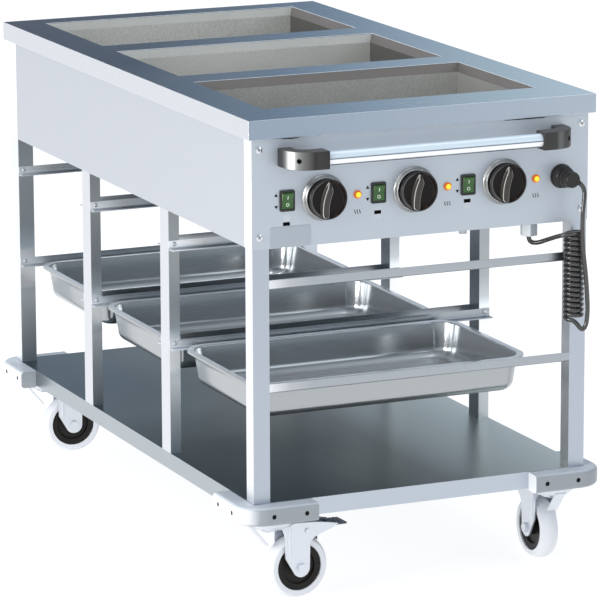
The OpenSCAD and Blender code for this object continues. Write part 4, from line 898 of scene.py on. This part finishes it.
# Handle brackets: an outline with a round shoulder, drawn through with soft edges
REACH = 0.0608
ARM = 0.0300
SEAT = 0.024
BRACKET_WIDTH = 0.068
BRACKET_HEIGHT = 0.031
SHOULDER = 0.045
SOFT_EDGE = 0.0014
HOLE_R = 0.0043
HOLE_STEPS = 24
HOLE_STANDS_OFF = 0.00015
# Place of the screw's recess along the round shoulder, in degrees
HOLE_ANGLE = {-1: 51, 1: 48}
Z_BAR = TOP - 0.066


def bracket_outline():
    """Outline seen from above, as distances from the outer side and from the panel."""
    inner = (REACH - ARM) / 2
    points = [(0, 0), (SEAT, 0)]
    points += [(SEAT + inner - inner * cosd(a), inner + inner * sind(a)) for a in range(0, 91, 10)]
    points += [(BRACKET_WIDTH, REACH - ARM), (BRACKET_WIDTH, REACH)]
    return points + [(SHOULDER - SHOULDER * sind(a), REACH - SHOULDER + SHOULDER * cosd(a))
                     for a in range(0, 91, 5)]


def drawn_in(points, by):
    """The outline moved inwards by a small distance."""
    out = []
    for k, point in enumerate(points):
        here = Vector(point)
        coming = (here - Vector(points[k - 1])).normalized()
        going = (Vector(points[(k + 1) % len(points)]) - here).normalized()
        inwards = Vector((-coming.y - going.y, coming.x + going.x))
        inwards /= max(0.4, inwards.length ** 2 / 2)
        out.append((point[0] + inwards.x * by, point[1] + inwards.y * by))
    return out


def in_bracket(side):
    """side is -1 for the left bracket and 1 for the right one."""
    return lambda inwards, out, z: Vector((side * (BRACKET_REACH - inwards), Y_PANEL - out, Z_BAR + z))


shapes = []
for side in (-1, 1):
    place = in_bracket(side)
    rows = [(SOFT_EDGE * (1 - sind(a)), -BRACKET_HEIGHT / 2 + SOFT_EDGE * (1 - cosd(a)))
            for a in (0, 30, 60, 90)]
    rows += [(inset, -z) for inset, z in reversed(rows)]
    shapes.append(loft([[place(u, out, z) for u, out in drawn_in(bracket_outline(), inset)]
                        for inset, z in rows]))
    # The mouth of the screw's recess lies on the round shoulder, drawn as a dark disc of painted shade
    bend = SHOULDER + HOLE_STANDS_OFF
    rings = []
    for radius in (HOLE_R, 0.0001):
        ring = []
        for u, z in circle(radius, HOLE_STEPS):
            angle = HOLE_ANGLE[side] + math.degrees(u / SHOULDER)
            ring.append(place(SHOULDER - bend * cosd(angle), REACH - SHOULDER + bend * sind(angle), z))
        rings.append(ring)
    shapes.append(loft(rings, False))
shape, owner = joined(shapes)
brackets = piece("drawn_brackets", shape, "bracket", "frame", more=("print_and_shade",),
                 which=[number % 2 for number in owner])
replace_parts(brackets, "handle_brackets")

# Signal lamps: a glowing lens in each ring
LENS_R = 0.0043
LENS_DOME = 0.0014
lens_profile = [(LENS_R, 0.0035)]
lens_profile += [(LENS_R * cosd(a), 0.0052 + LENS_DOME * sind(a)) for a in (0, 20, 40, 60, 80)]
for side, x in zip(SIDES, KNOB_X):
    piece("lamp_lens_" + side, lathe(lens_profile, 32, on_panel(x + LAMP_SHIFT, Z_KNOB)), "lamp", "frame")

# Marks on the panel: an arrow with a dash above and below each switch's middle
INK = 0.00012
ARROW_SHIFT = SWITCH_SHIFT - 0.0195
WAVE_STEPS = 12
WAVE_HALF = 0.0007
WAVE_TALL = 0.0072
for side, x in zip(SIDES, KNOB_X):
    for word, sign in (("up", 1), ("down", -1)):
        z = Z_KNOB + sign * 0.0105
        arrow = [(-0.0033, -sign * 0.0027), (0.0033, -sign * 0.0027), (0, sign * 0.0027)]
        piece(f"arrow_{side}_{word}", slab(arrow, on_panel(x + ARROW_SHIFT, z), 0, INK), "print_and_shade", "frame",
              False)
        dash = slab(box_outline(0.0044, 0.0006), on_panel(x + ARROW_SHIFT, z - sign * 0.0042), 0, INK)
        piece(f"dash_{side}_{word}", dash, "gland", "frame", False)
    # Three heat waves under each lamp
    for j in range(3):
        place = on_panel(x + LAMP_SHIFT + (j - 1) * 0.0045, Z_KNOB - 0.0295)
        wave = [(0.0008 * sind(360 * k / WAVE_STEPS), WAVE_TALL * (k / WAVE_STEPS - 0.5))
                for k in range(WAVE_STEPS + 1)]
        verts = [place(u + half, v, INK) for half in (-WAVE_HALF, WAVE_HALF) for u, v in wave]
        n = len(wave)
        faces = [(k, k + 1, n + k + 1, n + k) for k in range(n - 1)]
        piece(f"heat_wave_{side}_{j}", (verts, faces), "print_and_shade", "frame", False)

# A level mark under each switch, and pale fields beside it as (drop, height)
LEVEL_DROP = (0.0397, 0.0335, 0.0280)
LEVEL_FIELDS = ([(0.0295, 0.0105)], [(0.0270, 0.0060), (0.0405, 0.0065)], [(0.0360, 0.0090)])
for side, x, drop, fields in zip(SIDES, KNOB_X, LEVEL_DROP, LEVEL_FIELDS):
    level_x = x + SWITCH_SHIFT - 0.001
    mark = slab(rounded(0.0125, 0.0062, 0.0004), on_panel(level_x, Z_KNOB - drop), 0, INK)
    piece("level_mark_" + side, mark, "print_and_shade", "frame", False)
    for k, (field_drop, tall) in enumerate(fields):
        piece(f"level_field_{side}_{k}",
              slab(rounded(0.0115, tall, 0.0006), on_panel(level_x, Z_KNOB - field_drop), 0, INK),
              "ink_pale", "frame", False)

# Dark strips of painted shade in the gaps where the lip of the worktop stands off the panel: start, end and
# depth
LIP_GAP_SHADES = {"left": (-0.262, -0.226, 0.0017), "right": (0.150, 0.232, 0.0016)}
for side, (start, end, deep) in LIP_GAP_SHADES.items():
    middle = start + 0.62 * (end - start)
    outline = [(start, LIP_BOTTOM), (start + 0.006, LIP_BOTTOM - deep * 0.55), (middle, LIP_BOTTOM - deep),
               (end - 0.004, LIP_BOTTOM - deep * 0.8), (end, LIP_BOTTOM), (middle, LIP_BOTTOM + 0.0003)]
    piece("lip_gap_shade_" + side, slab(outline, on_panel(0, 0), 0, 0.0003), "print_and_shade", "frame", False)

# Bare plate at the lower left of the control panel
plate_shape = slab(rounded(0.074, 0.0348, 0.004), on_panel(-0.2435, 0.6381), 0, 0.0008)
plate = piece("bare_plate", plate_shape, "plate", "frame", angle=50)
plate_edge = plate.modifiers.new("bevel", "BEVEL")
plate_edge.width = 0.0003
plate_edge.segments = 2
plate_edge.limit_method = "ANGLE"

# Marks on the rockers: a bar on the raised upper half and a ring on the lower half
TILT = 8
ROCKER_OUT = 0.0033
MARK_SUNK = -0.0001
MARK_PROUD = 0.00025
RING_STEPS = 24


def on_rocker(x, half):
    """half is 1 for the upper half of the button and -1 for the lower half."""
    def place(u, v, height):
        y = -(ROCKER_OUT + v * math.tan(math.radians(TILT)) + height)
        z = half * v
        return Vector((x + u, Y_PANEL + y * cosd(TILT) - z * sind(TILT),
                       Z_KNOB + y * sind(TILT) + z * cosd(TILT)))
    return place


for side, x in zip(SIDES, KNOB_X):
    upper = on_rocker(x + SWITCH_SHIFT, 1)
    lower = on_rocker(x + SWITCH_SHIFT, -1)
    bar = [(u, v + 0.0061) for u, v in box_outline(0.0014, 0.0062)]
    piece("mark_one_" + side, slab(bar, upper, MARK_SUNK, MARK_PROUD), "white", "rocker_" + side,
          False)
    rings = [[lower(u, v, height) for u, v in circle(radius, RING_STEPS, (0, 0.0062))]
             for radius, height in ((0.0030, MARK_SUNK), (0.0030, MARK_PROUD), (0.0019, MARK_PROUD),
                                    (0.0019, MARK_SUNK))]
    piece("mark_ring_" + side, loft(rings, False), "white", "rocker_" + side, False)

# Cross recesses in the heads of the panel screws: their real shape, drawn as dark crosses of painted shade
PANEL_SCREW_X = 0.300
PANEL_SCREW_DROPS = (0.0516, 0.1996)
for side, sign in (("l", -1), ("r", 1)):
    for drop in PANEL_SCREW_DROPS:
        place = on_panel(sign * PANEL_SCREW_X, TOP - drop)
        for turn in (20, 110):
            outline = [(u * cosd(turn) - v * sind(turn), u * sind(turn) + v * cosd(turn))
                       for u, v in box_outline(0.0054, 0.0010)]
            piece(f"recess_{side}_{int(drop * 1e4)}_{turn}", slab(outline, place, 0.0022, 0.00245), "print_and_shade",
                  "frame", False)

# Floor
floor_mesh = bpy.data.meshes.new("floor")
floor_mesh.from_pydata([(-40, -40, 0), (40, -40, 0), (40, 60, 0), (-40, 60, 0)], [], [(0, 1, 2, 3)])
floor = bpy.data.objects.new("floor", floor_mesh)
scene.collection.objects.link(floor)
floor_look, _, _ = material("floor_pale", grey(0.30), 0.9, shine=0.0)
set_glow(floor_look, grey(1), 0.82)
floor_mesh.materials.append(floor_look)

# World: brighter on the left than on the right
world = bpy.data.worlds.new("studio")
scene.world = world
world.use_nodes = True
tree = world.node_tree
background = tree.nodes["Background"]
coords = tree.nodes.new("ShaderNodeTexCoord")
split = tree.nodes.new("ShaderNodeSeparateXYZ")
links(tree, (coords.outputs["Generated"], split.inputs["Vector"]))
sky = ramp(tree, spread(tree, split.outputs["X"], 0, 1, -1, 1),
           [(0.0, (1.35, 1.37, 1.42)), (0.45, (0.80, 0.86, 0.95)), (0.70, (0.56, 0.64, 0.74)),
            (1.0, (0.62, 0.66, 0.70))])
links(tree, (sky, background.inputs["Color"]))
background.inputs["Strength"].default_value = 0.72


def area(name, place, aim, size, power, color=(1, 1, 1)):
    light = bpy.data.lights.new(name, "AREA")
    light.shape = "RECTANGLE"
    light.size, light.size_y = size
    light.energy = power
    light.color = color
    obj = bpy.data.objects.new(name, light)
    obj.location = place
    obj.rotation_mode = "QUATERNION"
    obj.rotation_quaternion = (Vector(aim) - Vector(place)).to_track_quat("-Z", "Y")
    scene.collection.objects.link(obj)


area("key_left", (-4.5, -1.5, 4.0), (0, 0, 0.5), (3.5, 3.5), 55)
area("overhead", (0.5, 0.5, 5.5), (0, 0, 0), (5, 5), 110, (0.97, 0.98, 1.0))
area("front_right", (3.5, -5.0, 2.6), (0, -0.3, 0.5), (2.5, 2.5), 30, (0.93, 0.96, 1.0))
area("low_left", (-4.3, -1.3, 1.25), (0.2, -0.2, 0.4), (2.2, 1.5), 90)

scene.view_settings.view_transform = "Standard"
scene.view_settings.look = "None"
